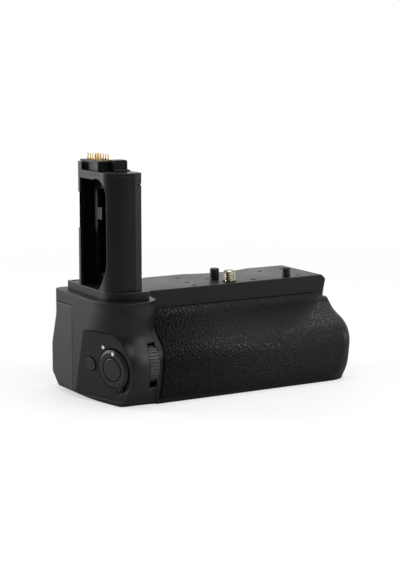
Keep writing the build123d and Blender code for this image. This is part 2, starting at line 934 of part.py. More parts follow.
with BuildPart() as base_screws:
    for x, y in base_screw_spots:
        add(upright(x, y, screw_head_sink, base_screw_radius, base_screw_depth - screw_head_sink))
publish(base_screws, "base_screws")

# Frame round the bay, with the tripod bush, the wheel's axle and the screw's pivot hole
with BuildPart() as frame:
    add(frame_ring.part)
    add(upright(0, 0, z_frame_top - frame_thickness, screw_pivot_radius + run_gap, over), mode=Mode.SUBTRACT)
    add(upright(x_wheel, y_wheel, bay_top, wheel_axle_radius, over), mode=Mode.SUBTRACT)
    add(bush_room, mode=Mode.SUBTRACT)
publish(frame, "frame")

with BuildPart() as tripod_bush:
    add(bush_room)
    add(upright(0, 0, 0, bush_thread_radius, bush_thread_depth), mode=Mode.SUBTRACT)
    chamfer(tripod_bush.edges().group_by(Axis.Z)[0].sort_by(SortBy.RADIUS)[0], length=screw_chamfer)
publish(tripod_bush, "tripod_bush")

wheel_top = z_wheel + wheel_thickness
with BuildPart() as wheel_axle:
    add(upright(x_wheel, y_wheel, bay_top, wheel_axle_radius, wheel_top + fit_gap - bay_top))
publish(wheel_axle, "wheel_axle")

# Attachment wheel with ribs all round, its gear, and the screw's gear in mesh with it
with BuildPart() as attachment_wheel:
    with BuildSketch(Plane.XY.offset(z_wheel)):
        Circle(wheel_radius)
        with PolarLocations(wheel_radius, wheel_ribs):
            Circle(wheel_rib_depth, mode=Mode.SUBTRACT)
    extrude(amount=wheel_thickness)
    add(upright(0, 0, gear_top, wheel_hub_radius, z_wheel - gear_top))
    add(upright(0, 0, gear_top, wheel_axle_radius + run_gap, over), mode=Mode.SUBTRACT)
attachment_wheel.part.position = (x_wheel, y_wheel, 0)
publish(attachment_wheel, "attachment_wheel")

toward_screw = 180 + wheel_bearing
with BuildPart() as wheel_gear:
    add(Pos(x_wheel, y_wheel, 0) * gear(wheel_teeth, z_gear, toward_screw, wheel_axle_radius + run_gap))
publish(wheel_gear, "wheel_gear")

with BuildPart() as screw_gear:
    add(gear(screw_teeth, z_gear, wheel_bearing + 180 / screw_teeth, screw_shaft_radius))
publish(screw_gear, "screw_gear")

# Camera screw: pivot, shaft, neck and threaded end
screw_tip = body_height + screw_reach
with BuildPart() as camera_screw:
    with BuildSketch(Plane.XZ):
        with BuildLine():
            Polyline(
                (0, z_frame_top - frame_thickness),
                (screw_pivot_radius, z_frame_top - frame_thickness),
                (screw_pivot_radius, z_gear),
                (screw_shaft_radius, z_gear),
                (screw_shaft_radius, body_height - screw_neck_length),
                (screw_neck_radius, body_height - screw_neck_length),
                (screw_neck_radius, body_height),
                (screw_radius, body_height),
                (screw_radius, screw_tip - screw_chamfer),
                (screw_radius - screw_chamfer, screw_tip),
                (0, screw_tip),
                close=True,
            )
        make_face()
    revolve(axis=Axis.Z)
    slot_floor = screw_tip - screw_slot_depth
    slot = block(-screw_radius, -screw_slot_width / 2, slot_floor, 2 * screw_radius, screw_slot_width, over)
    add(slot, mode=Mode.SUBTRACT)
publish(camera_screw, "camera_screw")

with BuildPart() as screw_ring:
    add(upright(0, 0, body_height - ring_height - ring_sink, ring_radius, ring_height))
    add(upright(0, 0, body_height - ring_height - ring_sink, ring_bore, over), mode=Mode.SUBTRACT)
publish(screw_ring, "screw_ring")


def locating_pin(name, x, y, radius, reach):
    """Pin with a thinner root pressed into the deck, chamfered at its end."""
    with BuildPart() as pin:
        add(upright(x, y, body_height, radius, reach))
        add(upright(x, y, body_height - pin_root, radius - pin_shoulder, pin_root))
        chamfer(pin.edges().group_by(Axis.Z)[-1], length=pin_chamfer)
    publish(pin, name)


locating_pin("locating_pin_a", pin_a_x, pin_a_y, pin_a_radius, pin_a_reach)
locating_pin("locating_pin_b", pin_b_x, pin_b_y, pin_b_radius, pin_b_reach)

# Contact pads on the tray's inner end, and the block with its contacts in the bay
pad_shares = [number - (pad_contact_count - 1) / 2 for number in range(pad_contact_count)]


def pads(x):
    """Row of square contact pads with their backs at x."""
    with BuildPart() as row:
        for share in pad_shares:
            y_pad = y_bay + share * pad_contact_pitch - pad_contact_size / 2
            z_pad = z_bay_mid - pad_contact_size / 2
            add(block(x, y_pad, z_pad, pad_contact_depth, pad_contact_size, pad_contact_size))
    return row


tray_pads = pads(x_tray_end)
bay_contacts = pads(x_bay_end - pad_contact_depth)
publish(tray_pads, "tray_pads")
publish(bay_contacts, "bay_contacts")

with BuildPart() as bay_contact_block:
    add(block_room)
    add(bay_contacts.part, mode=Mode.SUBTRACT)
publish(bay_contact_block, "bay_contact_block")

# Battery tray: an open box with a divider, windows and finger holes
y_tray = y_bay - tray_width / 2
z_tray = bay_floor + fit_gap
pocket_starts = [x_tray_end + tray_wall + number * (pocket_length + tray_wall) for number in range(2)]
with BuildPart() as battery_tray:
    add(block(x_tray_end, y_tray, z_tray, tray_length, tray_width, tray_height))
    for x in pocket_starts:
        pocket_width = tray_width - 2 * tray_wall
        pocket = block(x, y_tray + tray_wall, z_tray + tray_floor, pocket_length, pocket_width, over)
        add(pocket, mode=Mode.SUBTRACT)
        middle = x + pocket_length / 2
        add(upright(middle, y_bay, z_tray - over, tray_hole_radius, 2 * over), mode=Mode.SUBTRACT)
        window = Box(tray_window_length, over + tray_width, tray_window_height, mode=Mode.PRIVATE)
        z_window = z_tray + tray_height - tray_window_height / 2
        add(Pos(middle, y_bay, z_window) * window, mode=Mode.SUBTRACT)
    for y in (y_tray, y_tray + tray_width - tray_lug_width):
        add(block(x_tray_wall, y, z_tray, cam_room_length, tray_lug_width, tray_height))
    add(tray_pads.part, mode=Mode.SUBTRACT)
publish(battery_tray, "battery_tray")

# Spring leaves at the far end of each pocket
with BuildPart() as tray_leaves:
    for x in pocket_starts:
        for number in range(leaf_count):
            y_leaf = y_bay + (number - (leaf_count - 1) / 2) * leaf_pitch - leaf_width / 2
            z_leaf = z_tray + tray_floor + fit_gap
            add(block(x, y_leaf, z_leaf, leaf_thickness, leaf_width, leaf_height))
publish(tray_leaves, "tray_leaves")

# End cap on the tray, its seal, and the latch that turns in it
y_latch = y_bay
z_latch = z_bay_mid
with BuildPart() as tray_cap:
    with BuildSketch(Plane.YZ.offset(x_cap)):
        with Locations((y_bay, z_bay_mid)):
            RectangleRounded(cap_width, cap_height, cap_radius)
    extrude(amount=cap_thickness)
    chamfer(tray_cap.edges().group_by(Axis.X)[-1], length=cap_gap)
    with BuildSketch(Plane.YZ.offset(x_right - latch_depth)):
        with Locations((y_latch, z_latch)):
            Circle(latch_radius + cap_gap)
    extrude(amount=over, mode=Mode.SUBTRACT)
    with BuildSketch(Plane.YZ.offset(x_cap)):
        with Locations((y_latch, z_latch)):
            Circle(latch_shaft_radius + run_gap)
    extrude(amount=over, mode=Mode.SUBTRACT)
    with BuildSketch(Plane.YZ.offset(x_cap)):
        with Locations((y_bay, z_bay_mid)):
            RectangleRounded(cap_width + over, cap_height + over, cap_radius)
            RectangleRounded(seal_inner_width, seal_inner_height, seal_corner, mode=Mode.SUBTRACT)
    extrude(amount=seal_width, mode=Mode.SUBTRACT)
publish(tray_cap, "tray_cap")

with BuildPart() as tray_seal:
    with BuildSketch(Plane.YZ.offset(x_cap)):
        with Locations((y_bay, z_bay_mid)):
            RectangleRounded(cap_width, cap_height, cap_radius)
            RectangleRounded(seal_inner_width, seal_inner_height, seal_corner, mode=Mode.SUBTRACT)
    extrude(amount=seal_width)
publish(tray_seal, "tray_seal")

with BuildPart() as tray_latch:
    with BuildSketch(Plane.YZ.offset(x_right - latch_depth + cap_gap)) as latch_face:
        with Locations((y_latch, z_latch)):
            Circle(latch_radius)
    extrude(amount=latch_height / 2)
    with BuildSketch(Plane.YZ.offset(x_right - latch_depth + cap_gap)):
        with Locations((y_latch, z_latch)):
            SlotOverall(2 * latch_radius - latch_bar_width, latch_bar_width, rotation=90)
    extrude(amount=latch_height)
    with BuildSketch(Plane.YZ.offset(x_tray_wall + fit_gap)):
        with Locations((y_latch, z_latch)):
            Circle(latch_shaft_radius)
    extrude(amount=x_right - latch_depth + cap_gap - x_tray_wall - fit_gap)
publish(tray_latch, "tray_latch")

with BuildPart() as latch_cam:
    with BuildSketch(Plane.YZ.offset(x_tray_wall + fit_gap)):
        with Locations((y_latch, z_latch)):
            Circle(latch_hub_radius)
            SlotOverall(2 * latch_cam_reach, latch_cam_width)
            Rectangle(over, over, align=(Align.MAX, Align.CENTER), mode=Mode.SUBTRACT)
            Circle(latch_hub_radius)
            Circle(latch_shaft_radius, mode=Mode.SUBTRACT)
    extrude(amount=latch_cam_thickness)
publish(latch_cam, "latch_cam")

# Release button, its lock ring and the function button
with BuildPart() as lock_ring:
    ring_floor = fit_gap - ring_control_recess
    ring_edge = ring_control_height - ring_slope_height
    add(facet_disc(0, 0, ring_floor, ring_control_radius, ring_edge))
    shoulder_top = ring_control_radius - ring_slope
    shoulder = Cone(ring_control_radius, shoulder_top, ring_slope_height, mode=Mode.PRIVATE)
    add(facet * Pos(0, 0, ring_floor + ring_edge + ring_slope_height / 2) * shoulder)
    with BuildSketch(facet.offset(ring_floor)):
        with Locations(Rotation(0, 0, ring_tab_angle)):
            SlotOverall(2 * ring_tab_reach, ring_tab_width)
            Rectangle(over, over, align=(Align.MAX, Align.CENTER), mode=Mode.SUBTRACT)
    extrude(amount=ring_edge)
    add(facet_disc(0, 0, ring_floor, ring_control_bore, over), mode=Mode.SUBTRACT)
    with BuildSketch(facet.offset(ring_floor + ring_edge)):
        with Locations(Rotation(0, 0, ring_tab_angle)):
            with Locations((ring_tab_reach, 0)):
                with GridLocations(0, 3 * ring_rib_width, 1, 2):
                    Rectangle(3 * ring_rib_width, ring_rib_width, align=(Align.MAX, Align.CENTER))
    extrude(amount=-ring_rib_width, mode=Mode.SUBTRACT)
    dot_floor = ring_floor + ring_control_height - dot_depth
    add(facet_disc(ring_dot_side, ring_dot_reach, dot_floor, ring_dot_radius, over), mode=Mode.SUBTRACT)
publish(lock_ring, "lock_ring")

with BuildPart() as ring_dot:
    add(facet_disc(ring_dot_side, ring_dot_reach, dot_floor, ring_dot_radius, dot_depth))
publish(ring_dot, "ring_dot")

with BuildPart() as body_dot:
    add(facet_disc(dot_x, dot_y, -dot_depth, ring_dot_radius, dot_depth))
publish(body_dot, "body_dot")

collar_top = -facet_wall - fit_gap
with BuildPart() as release_button:
    add(facet_disc(0, 0, collar_top, button_radius, button_rise - collar_top))
    fillet(release_button.edges().sort_by_distance(facet.origin + facet.z_dir * over)[0], radius=button_dome)
    add(facet_disc(0, 0, collar_top - button_collar_height, button_collar_radius, button_collar_height))
    add(facet_disc(0, 0, collar_top - button_stem_length, button_stem_radius, button_stem_length))
publish(release_button, "release_button")

with BuildPart() as function_button:
    spot = (-small_button_from_centre, small_button_height)
    add(facet_disc(*spot, collar_top, small_button_radius, small_button_rise - collar_top))
    fillet(function_button.edges().sort_by_distance(facet.origin + facet.z_dir * over)[0], radius=fit_gap)
    collar_floor = collar_top - button_collar_height
    add(facet_disc(*spot, collar_floor, small_button_collar_radius, button_collar_height))
publish(function_button, "function_button")

board_floor = -facet_wall - room_depth
with BuildPart() as control_board:
    add(facet_block(
        fit_gap - room_back, fit_gap - room_half_height, board_floor,
        room_back + room_front - 2 * fit_gap, 2 * room_half_height - 2 * fit_gap, board_thickness,
    ))
publish(control_board, "control_board")

with BuildPart() as control_switches:
    for u, v in ((0, 0), spot):
        switch_foot = board_floor + board_thickness
        corner = (u - switch_size / 2, v - switch_size / 2, switch_foot)
        add(facet_block(*corner, switch_size, switch_size, switch_height))
publish(control_switches, "control_switches")


def dial(name, plane, radius, width):
    """Ribbed dial centred on a plane, with a bore for its axle."""
    with BuildPart() as wheel:
        with BuildSketch(plane):
            Circle(radius)
            with PolarLocations(radius, dial_ribs):
                Circle(dial_rib_depth, mode=Mode.SUBTRACT)
            Circle(dial_axle_radius + run_gap, mode=Mode.SUBTRACT)
        extrude(amount=width / 2, both=True)
    publish(wheel, name)


front_dial_plane = at_origin(x_front_dial, y_front_dial, front_dial_height, (0, 1, 0), (1, 0, 0))
dial("front_dial", front_dial_plane, front_dial_radius, front_dial_width)
dial("rear_dial", at_origin(x_rear_dial, y_rear_dial, rear_dial_height), rear_dial_radius, rear_dial_width)

with BuildPart() as front_dial_axle:
    with BuildSketch(Plane.YZ.offset(x_front_dial - dial_axle_length / 2)):
        with Locations((y_front_dial, front_dial_height)):
            Circle(dial_axle_radius)
    extrude(amount=dial_axle_length)
publish(front_dial_axle, "front_dial_axle")

with BuildPart() as rear_dial_axle:
    add(rear_dial_axle_room)
publish(rear_dial_axle, "rear_dial_axle")

# Rear buttons and the small board with their switches
y_collar = control_rear_reach - rear_button_wall - fit_gap
for number, x in enumerate(rear_button_spots):
    with BuildPart() as rear_button:
        button_length = rear_button_wall + fit_gap + rear_button_rise
        add(across_rear(x, rear_button_height, y_collar, rear_button_radius, button_length))
        fillet(rear_button.edges().group_by(Axis.Y)[-1], radius=fit_gap)
        collar_radius = rear_button_radius + rear_button_collar
        collar_start = y_collar - rear_button_collar
        add(across_rear(x, rear_button_height, collar_start, collar_radius, rear_button_collar))
    publish(rear_button, f"rear_button_{number + 1}")

with BuildPart() as rear_boards:
    for x in rear_button_spots:
        rear_board_radius = rear_room_radius - fit_gap
        add(across_rear(x, rear_button_height, y_rear_room, rear_board_radius, rear_board_thickness))
publish(rear_boards, "rear_boards")

with BuildPart() as rear_switches:
    for x in rear_button_spots:
        add(block(
            x - rear_switch_size / 2,
            y_rear_room + rear_board_thickness,
            rear_button_height - rear_switch_size / 2,
            rear_switch_size, rear_switch_height, rear_switch_size,
        ))
publish(rear_switches, "rear_switches")

# Main board in the top frame
with BuildPart() as main_board:
    z_main_board = z_board - fit_gap
    add(block(x_board, main_board_front, z_main_board, main_board_length, main_board_width, board_thickness))
publish(main_board, "main_board")

with BuildPart() as main_chip:
    x_chip = x_board + (main_board_length - main_chip_size) / 2
    y_chip = main_board_front + (main_board_width - main_chip_size) / 2
    z_chip = z_main_board + board_thickness
    add(block(x_chip, y_chip, z_chip, main_chip_size, main_chip_size, main_chip_height))
publish(main_chip, "main_chip")


# Battery tower
def tower_section(z, grow=0.0):
    """Plan of the tower: round at the left, with a slanted strip at the front right."""
    with BuildSketch(Plane.XY.offset(z)) as section:
        with BuildLine():
            FilletPolyline(
                (x_tower + tower_width, y_tower + tower_strip_back),
                (x_tower + tower_width, y_tower_rear),
                (x_tower, y_tower_rear),
                (x_tower, y_tower),
                (x_tower + tower_width - tower_strip, y_tower),
                radius=[0, tower_small_radius, tower_back_radius, tower_front_radius, 0],
                close=True,
            )
        make_face()
        if grow:
            offset(amount=grow)
    return section.sketch


with BuildPart() as tower_shell:
    extrude(tower_section(z_tower), amount=z_cap - z_tower)
    extrude(tower_section(z_tower, -tower_wall), amount=z_cap - z_tower, mode=Mode.SUBTRACT)
    with BuildSketch(Plane.YZ.offset(x_tower - over)):
        with BuildLine():
            side = Line((-tower_cut_front_reach, tower_cut_heel), (-tower_cut_front_reach, tower_cut_crown))
            crown = TangentArc(side @ 1, (-tower_cut_crown_reach, tower_cut_top), tangent=(0, 1))
            Polyline(
                crown @ 1,
                (tower_cut_rear, tower_cut_top),
                (tower_cut_rear, z_tower),
                (-tower_cut_heel_reach, z_tower),
            )
            TangentArc(side @ 0, (-tower_cut_heel_reach, z_tower), tangent=(0, -1))
        make_face()
    extrude(amount=over + tower_width / 3, mode=Mode.SUBTRACT)
    add(block(
        x_tower - over, tower_cut_rear, tower_post_low,
        over + tower_width / 3, tower_post_rear - tower_cut_rear,
        tower_post_high - tower_post_low,
    ), mode=Mode.SUBTRACT)
    add(block(
        x_tower + tower_width - tower_mark_width, y_tower - over, z_tower_top - tower_mark_drop,
        over, over + tower_strip_back + tower_mark_depth, tower_mark_height,
    ), mode=Mode.SUBTRACT)
publish(tower_shell, "tower_shell")

x_liner = x_tower + liner_depth
x_inner = x_tower + tower_width - tower_wall
with BuildPart() as tower_liner:
    with BuildSketch(Plane.XY.offset(z_tower)):
        with BuildLine():
            FilletPolyline(
                (x_inner, -liner_front_reach),
                (x_liner, -liner_front_reach),
                (x_liner, liner_rear),
                (x_inner, liner_rear),
                radius=[0, liner_radius, liner_radius, 0],
                close=True,
            )
        make_face()
    extrude(amount=z_cap - cap_spigot - z_tower)
    with BuildSketch(Plane.XY.offset(z_tower)):
        with BuildLine():
            FilletPolyline(
                (x_inner + over, liner_wall - liner_front_reach),
                (x_liner + liner_wall, liner_wall - liner_front_reach),
                (x_liner + liner_wall, liner_rear - liner_wall),
                (x_inner + over, liner_rear - liner_wall),
                radius=[0, liner_radius - liner_wall, liner_radius - liner_wall, 0],
                close=True,
            )
        make_face()
    extrude(amount=tower_height, mode=Mode.SUBTRACT)
    with BuildSketch(Plane.YZ.offset(x_liner - over)):
        with BuildLine():
            FilletPolyline(
                (-liner_slot_front_reach, liner_slot_low),
                (-liner_slot_front_reach, liner_slot_high),
                (liner_slot_rear, liner_slot_high),
                (liner_slot_rear, liner_tab_high),
                (liner_slot_rear - liner_tab_width, liner_tab_high),
                (liner_slot_rear - liner_tab_width, liner_tab_low),
                (liner_slot_rear, liner_tab_low),
                (liner_slot_rear, liner_slot_low),
                radius=[liner_slot_radius, liner_slot_radius, 0, 0, 0, 0, 0, 0],
                close=True,
            )
        make_face()
    extrude(amount=over + liner_wall, mode=Mode.SUBTRACT)
publish(tower_liner, "tower_liner")

with BuildPart() as tower_cap:
    extrude(tower_section(z_cap), amount=cap_plate)
    extrude(tower_section(z_cap, -tower_wall), amount=-cap_spigot)
    with BuildPart(mode=Mode.PRIVATE) as post:
        extrude(tower_section(z_cap + cap_plate), amount=cap_post_height)
        post_depth = cap_post_rear - cap_post_front
        post_block = block(x_tower, cap_post_front, z_tower_top, cap_post_width, post_depth, cap_post_height)
        add(post_block, mode=Mode.INTERSECT)
    add(post.part)
publish(tower_cap, "tower_cap")

with BuildPart() as tower_flange:
    add(flange_plan.part)
    slot_x = x_left + flange_from_left + flange_small_radius
    slot_y = flange_rear - 2 * flange_slot_width
    slot_floor = z_tower - flange_slot_width
    add(block(slot_x, slot_y, slot_floor, flange_slot_length, flange_slot_width, over), mode=Mode.SUBTRACT)
publish(tower_flange, "tower_flange")

x_connector = x_left + connector_from_left
with BuildPart() as connector_block:
    y_connector = -connector_front_reach
    add(block(x_connector, y_connector, z_tower_top, connector_width, connector_depth, connector_height))
    y_contacts = connector_depth / 2 - connector_front_reach
    contact_spots = [
        (
            x_connector + connector_width / 2 + (row - (contact_rows - 1) / 2) * contact_row_gap,
            y_contacts + (number - (contacts_in_row - 1) / 2) * contact_pitch,
        )
        for row in range(contact_rows)
        for number in range(contacts_in_row)
    ]
    plate_top = z_tower_top + connector_height + connector_plate
    for x, y in contact_spots:
        add(upright(x, y, plate_top - contact_root, contact_radius, over), mode=Mode.SUBTRACT)
publish(connector_block, "connector_block")

with BuildPart() as connector_plate_piece:
    add(block(
        x_connector - connector_lip, -connector_front_reach - connector_lip, z_tower_top + connector_height,
        connector_width + 2 * connector_lip, connector_depth + 2 * connector_lip, connector_plate,
    ))
    for x, y in contact_spots:
        add(upright(x, y, plate_top - contact_root, contact_radius, over), mode=Mode.SUBTRACT)
publish(connector_plate_piece, "connector_plate")

with BuildPart() as contact_pins:
    for x, y in contact_spots:
        add(upright(x, y, plate_top - contact_root, contact_radius, contact_root + contact_rise))
publish(contact_pins, "contact_pins")

x_key = x_left + key_from_left
with BuildPart() as key_block:
    add(block(x_key, -key_front_reach, z_tower_top, key_width, key_depth, key_height))
    fillet(key_block.edges().filter_by(Axis.Y).group_by(Axis.Z)[-1].sort_by(Axis.X)[-1], radius=key_radius)
    add(block(
        x_key, -key_front_reach - key_plinth, z_tower_top, key_width + 2 * key_plinth,
        key_depth + key_plinth, key_plinth,
    ))
publish(key_block, "key_block")
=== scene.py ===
"""Camera battery grip: finishes, small parts and a plain studio, laid out as an add-on."""

import math

import bmesh
import bpy
from mathutils import Matrix, Vector


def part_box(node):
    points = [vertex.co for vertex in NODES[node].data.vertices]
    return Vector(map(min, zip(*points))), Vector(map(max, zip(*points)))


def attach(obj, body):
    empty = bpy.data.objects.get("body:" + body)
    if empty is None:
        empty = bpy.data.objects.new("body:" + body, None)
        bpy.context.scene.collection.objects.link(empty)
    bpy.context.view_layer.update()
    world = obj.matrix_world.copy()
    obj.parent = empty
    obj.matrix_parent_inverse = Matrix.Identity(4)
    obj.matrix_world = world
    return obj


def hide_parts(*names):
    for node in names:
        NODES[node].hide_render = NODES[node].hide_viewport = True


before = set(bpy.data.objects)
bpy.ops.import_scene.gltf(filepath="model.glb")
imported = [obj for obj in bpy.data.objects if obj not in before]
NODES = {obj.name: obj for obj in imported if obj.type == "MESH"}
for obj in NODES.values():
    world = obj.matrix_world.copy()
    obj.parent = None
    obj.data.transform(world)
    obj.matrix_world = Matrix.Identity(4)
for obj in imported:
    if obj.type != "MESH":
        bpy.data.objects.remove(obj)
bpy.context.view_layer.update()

bl_info = {
    "name": "Camera battery grip",
    "version": (1, 0, 0),
    "blender": (4, 5, 0),
    "location": "3D View > Sidebar > Grip",
    "description": "Dresses the packed battery grip and sets it on a plain studio floor",
    "category": "Object",
}

MM = 0.001
WHITE = "#ffffff"

# Noise per metre: patches of about 22 mm, handling marks of 6 mm, stains of 2 mm, a grain of 0.3 mm
PATCHES, MARKS, STAINS, FINE_GRAIN = 45.0, 160.0, 420.0, 3000.0
# Mottle of the floor, about 33 mm wide
FLOOR_MOTTLE = 30.0

# Skin of the hand grip, in millimetres: its top and foot, how far its crowns lie from the section
# along the normal, how far its border and its smooth side lie from it the other way, and the width
# of that border. The normals point into the grip, so the pebbled side is hidden and the smooth one shows
SKIN_TOP, SKIN_FOOT = 42.7, 2.55
SKIN_CROWN, SKIN_BORDER, SKIN_SMOOTH, SKIN_LIP = 0.3, 0.15, 1.0, 0.5

# Sockets of a Mix node: its two colours and their mix
MIX_A, MIX_B, MIX_OUT = 6, 7, 2


class GripColours(bpy.types.PropertyGroup):
    """Colours of the finishes, as sRGB hex."""

    housing: bpy.props.StringProperty(name="Housing", description="Moulded housing", default="#151514")
    # Painted light: the rear moulding is painted paler to match its lit left end
    back: bpy.props.StringProperty(
        name="Rear housing", description="Rear moulding, a little paler",
        default="#303030",
    )
    tower: bpy.props.StringProperty(name="Tower", description="Tower mouldings", default="#141514")
    liner: bpy.props.StringProperty(name="Liner", description="Inner liner of the tower", default="#111212")
    deck: bpy.props.StringProperty(name="Deck", description="Top plate", default="#2a2b2c")
    control: bpy.props.StringProperty(
        name="Controls", description="Buttons, ring and dials",
        default="#181817",
    )
    rib: bpy.props.StringProperty(
        name="Ribbed dials", description="Dials and attachment wheel",
        default="#4a4844",
    )
    rubber: bpy.props.StringProperty(name="Rubber", description="Pebbled rubber", default="#0e1010")
    seal: bpy.props.StringProperty(name="Seal", description="Silicone seals", default="#141414")
    pin: bpy.props.StringProperty(name="Black pins", description="Blackened steel", default="#0f0f0f")
    gold: bpy.props.StringProperty(name="Gold", description="Gold plating", default="#e6c27c")
    brass: bpy.props.StringProperty(name="Brass", description="Turned brass", default="#c29a4e")
    screw: bpy.props.StringProperty(name="Screw", description="Nickel-plated brass", default="#cdc6b6")
    steel: bpy.props.StringProperty(name="Steel", description="Pressed steel", default="#9a9b9d")
    board: bpy.props.StringProperty(name="Board", description="Solder mask", default="#123a22")
    mark: bpy.props.StringProperty(name="Mark", description="White index dots", default="#ffffff")
    chip: bpy.props.StringProperty(name="Chips", description="Epoxy of the switches", default="#151515")
    # Colour of the painted shade in the dial grooves
    groove_shade: bpy.props.StringProperty(name="Grooves", description="Painted shade in the dial grooves", default="#0c0c0b")
    floor: bpy.props.StringProperty(name="Floor", description="Pale floor", default="#a8a8a8")


class GripSizes(bpy.types.PropertyGroup):
    """Sizes of the fine detail, in metres, apart from the cross width, which is a share."""

    # Both grains are drawn coarser than a real spark finish of 0.1 to 0.3 mm, so that they show
    spark: bpy.props.FloatProperty(
        name="Moulded grain", description="Grain of the housing",
        default=0.00042, unit="LENGTH",
    )
    deck_grain: bpy.props.FloatProperty(
        name="Deck grain", description="Grain of the top plate",
        default=0.0007, unit="LENGTH",
    )
    # The real leather grain looks about 1.2 mm wide, and is drawn a third coarser so that it shows
    pebble: bpy.props.FloatProperty(
        name="Pebble", description="Width of a rubber pebble",
        default=0.0016, unit="LENGTH",
    )
    pebble_rise: bpy.props.FloatProperty(
        name="Pebble rise", description="Height of a rubber pebble",
        default=0.00030, unit="LENGTH",
    )
    skin_step: bpy.props.FloatProperty(
        name="Skin step", description="Mesh step of the rubber",
        default=0.00036, unit="LENGTH",
    )
    thread_pitch: bpy.props.FloatProperty(
        name="Thread pitch", description="Quarter-inch, 20 turns an inch",
        default=0.00127, unit="LENGTH",
    )
    thread_depth: bpy.props.FloatProperty(
        name="Thread depth", description="Depth of the thread",
        default=0.00062, unit="LENGTH",
    )
    cross_width: bpy.props.FloatProperty(
        name="Cross width", description="Width of a cross recess, as a share of the head",
        default=0.24,
    )
    cross_depth: bpy.props.FloatProperty(
        name="Cross depth", description="Depth of a cross recess",
        default=0.0006, unit="LENGTH",
    )


class GripStudio(bpy.types.PropertyGroup):
    """The stage: lens, viewing angle and light."""

    lens: bpy.props.FloatProperty(name="Lens", description="Focal length in mm", default=102.95)
    distance: bpy.props.FloatProperty(
        name="Distance", description="Camera distance",
        default=0.832, unit="LENGTH",
    )
    azimuth: bpy.props.FloatProperty(
        name="Azimuth", description="Turn of the camera",
        default=math.radians(-30.4), subtype="ANGLE",
    )
    elevation: bpy.props.FloatProperty(
        name="Elevation", description="Rise of the camera",
        default=math.radians(9.25), subtype="ANGLE",
    )
    aim: bpy.props.FloatVectorProperty(
        name="Aim", description="Point at the middle of the picture",
        default=(-0.0191, -0.0026, 0.052),
    )
    top_power: bpy.props.FloatProperty(
        name="Top light", description="Watts of the overhead softbox",
        default=4.5,
    )
    key_power: bpy.props.FloatProperty(
        name="Key light", description="Watts of the softbox above the front",
        default=6.0,
    )
    left_power: bpy.props.FloatProperty(
        name="Left light", description="Watts of the left softbox",
        default=6.4,
    )
    right_power: bpy.props.FloatProperty(
        name="Right light", description="Watts of the right softbox",
        default=3.6,
    )
    floor_lift: bpy.props.FloatProperty(
        name="Floor lift", description="Light added to the floor as the camera sees it",
        default=0.56,
    )
    ambient: bpy.props.FloatProperty(
        name="Ambient", description="Strength of the world on matt surfaces",
        default=0.42,
    )


def linear(text):
    """Linear colour of an sRGB hex value."""
    shares = [int(text[i:i + 2], 16) / 255 for i in (1, 3, 5)]
    return [s / 12.92 if s <= 0.04045 else ((s + 0.055) / 1.055) ** 2.4 for s in shares] + [1.0]


def add_node(tree, kind, inputs=None, **settings):
    """Add a node with its settings, and set or link its inputs."""
    node = tree.nodes.new(kind)
    for name, value in settings.items():
        setattr(node, name, value)
    for name, value in (inputs or {}).items():
        if isinstance(value, bpy.types.NodeSocket):
            tree.links.new(value, node.inputs[name])
        else:
            node.inputs[name].default_value = value
    return node


def new_material(name):
    """Empty material with its output, ready for a surface."""
    material = bpy.data.materials.new(name)
    material.use_nodes = True
    material.node_tree.nodes.clear()
    return material, material.node_tree


def surface(tree, shader):
    """Link a shader to the material's output."""
    add_node(tree, "ShaderNodeOutputMaterial", {"Surface": shader.outputs[0]})


def moulded(name, colour, grain, depth, roughness, edge):
    """Injection-moulded ABS from a spark-eroded mould: an even dark face with a fine matt grain.

    Edges are painted paler, as a painted highlight and a little handling wear; the grain breaks the gloss.
    """
    material, tree = new_material(name)
    place = add_node(tree, "ShaderNodeTexCoord").outputs["Object"]
    noise = add_node(
        tree, "ShaderNodeTexNoise", {"Vector": place, "Scale": 1 / grain, "Detail": 3.0, "Roughness": 0.6},
    )
    patch = add_node(tree, "ShaderNodeTexNoise", {"Vector": place, "Scale": PATCHES, "Detail": 2.0})
    rounded = add_node(tree, "ShaderNodeBevel", {"Radius": edge}, samples=6)
    sharp = add_node(tree, "ShaderNodeNewGeometry")
    facing = add_node(
        tree, "ShaderNodeVectorMath", {0: rounded.outputs[0], 1: sharp.outputs["Normal"]},
        operation="DOT_PRODUCT",
    )
    rim = add_node(
        tree, "ShaderNodeMapRange",
        {"Value": facing.outputs["Value"], "From Min": 0.80, "From Max": 1.0, "To Min": 1.0, "To Max": 0.0},
    )
    base = linear(colour)
    # Painted highlight: the edges are painted up to 1.7 times paler, with a little handling wear in it
    worn_and_highlit = [min(1.0, c * 1.7 + 0.004) for c in base[:3]] + [1.0]
    tone = add_node(
        tree, "ShaderNodeMix", {"Factor": rim.outputs[0], MIX_A: base, MIX_B: worn_and_highlit}, data_type="RGBA",
    )
    gloss = add_node(
        tree, "ShaderNodeMapRange",
        {"Value": patch.outputs[0], "From Min": 0.3, "From Max": 0.7,
         "To Min": roughness - 0.04, "To Max": roughness + 0.05},
    )
    bump = add_node(
        tree, "ShaderNodeBump",
        {"Height": noise.outputs[0], "Distance": depth, "Strength": 0.8, "Normal": rounded.outputs[0]},
    )
    shader = add_node(
        tree, "ShaderNodeBsdfPrincipled",
        {"Base Color": tone.outputs[MIX_OUT], "Roughness": gloss.outputs[0], "Normal": bump.outputs[0],
         "IOR": 1.42},
    )
    surface(tree, shader)
    return material


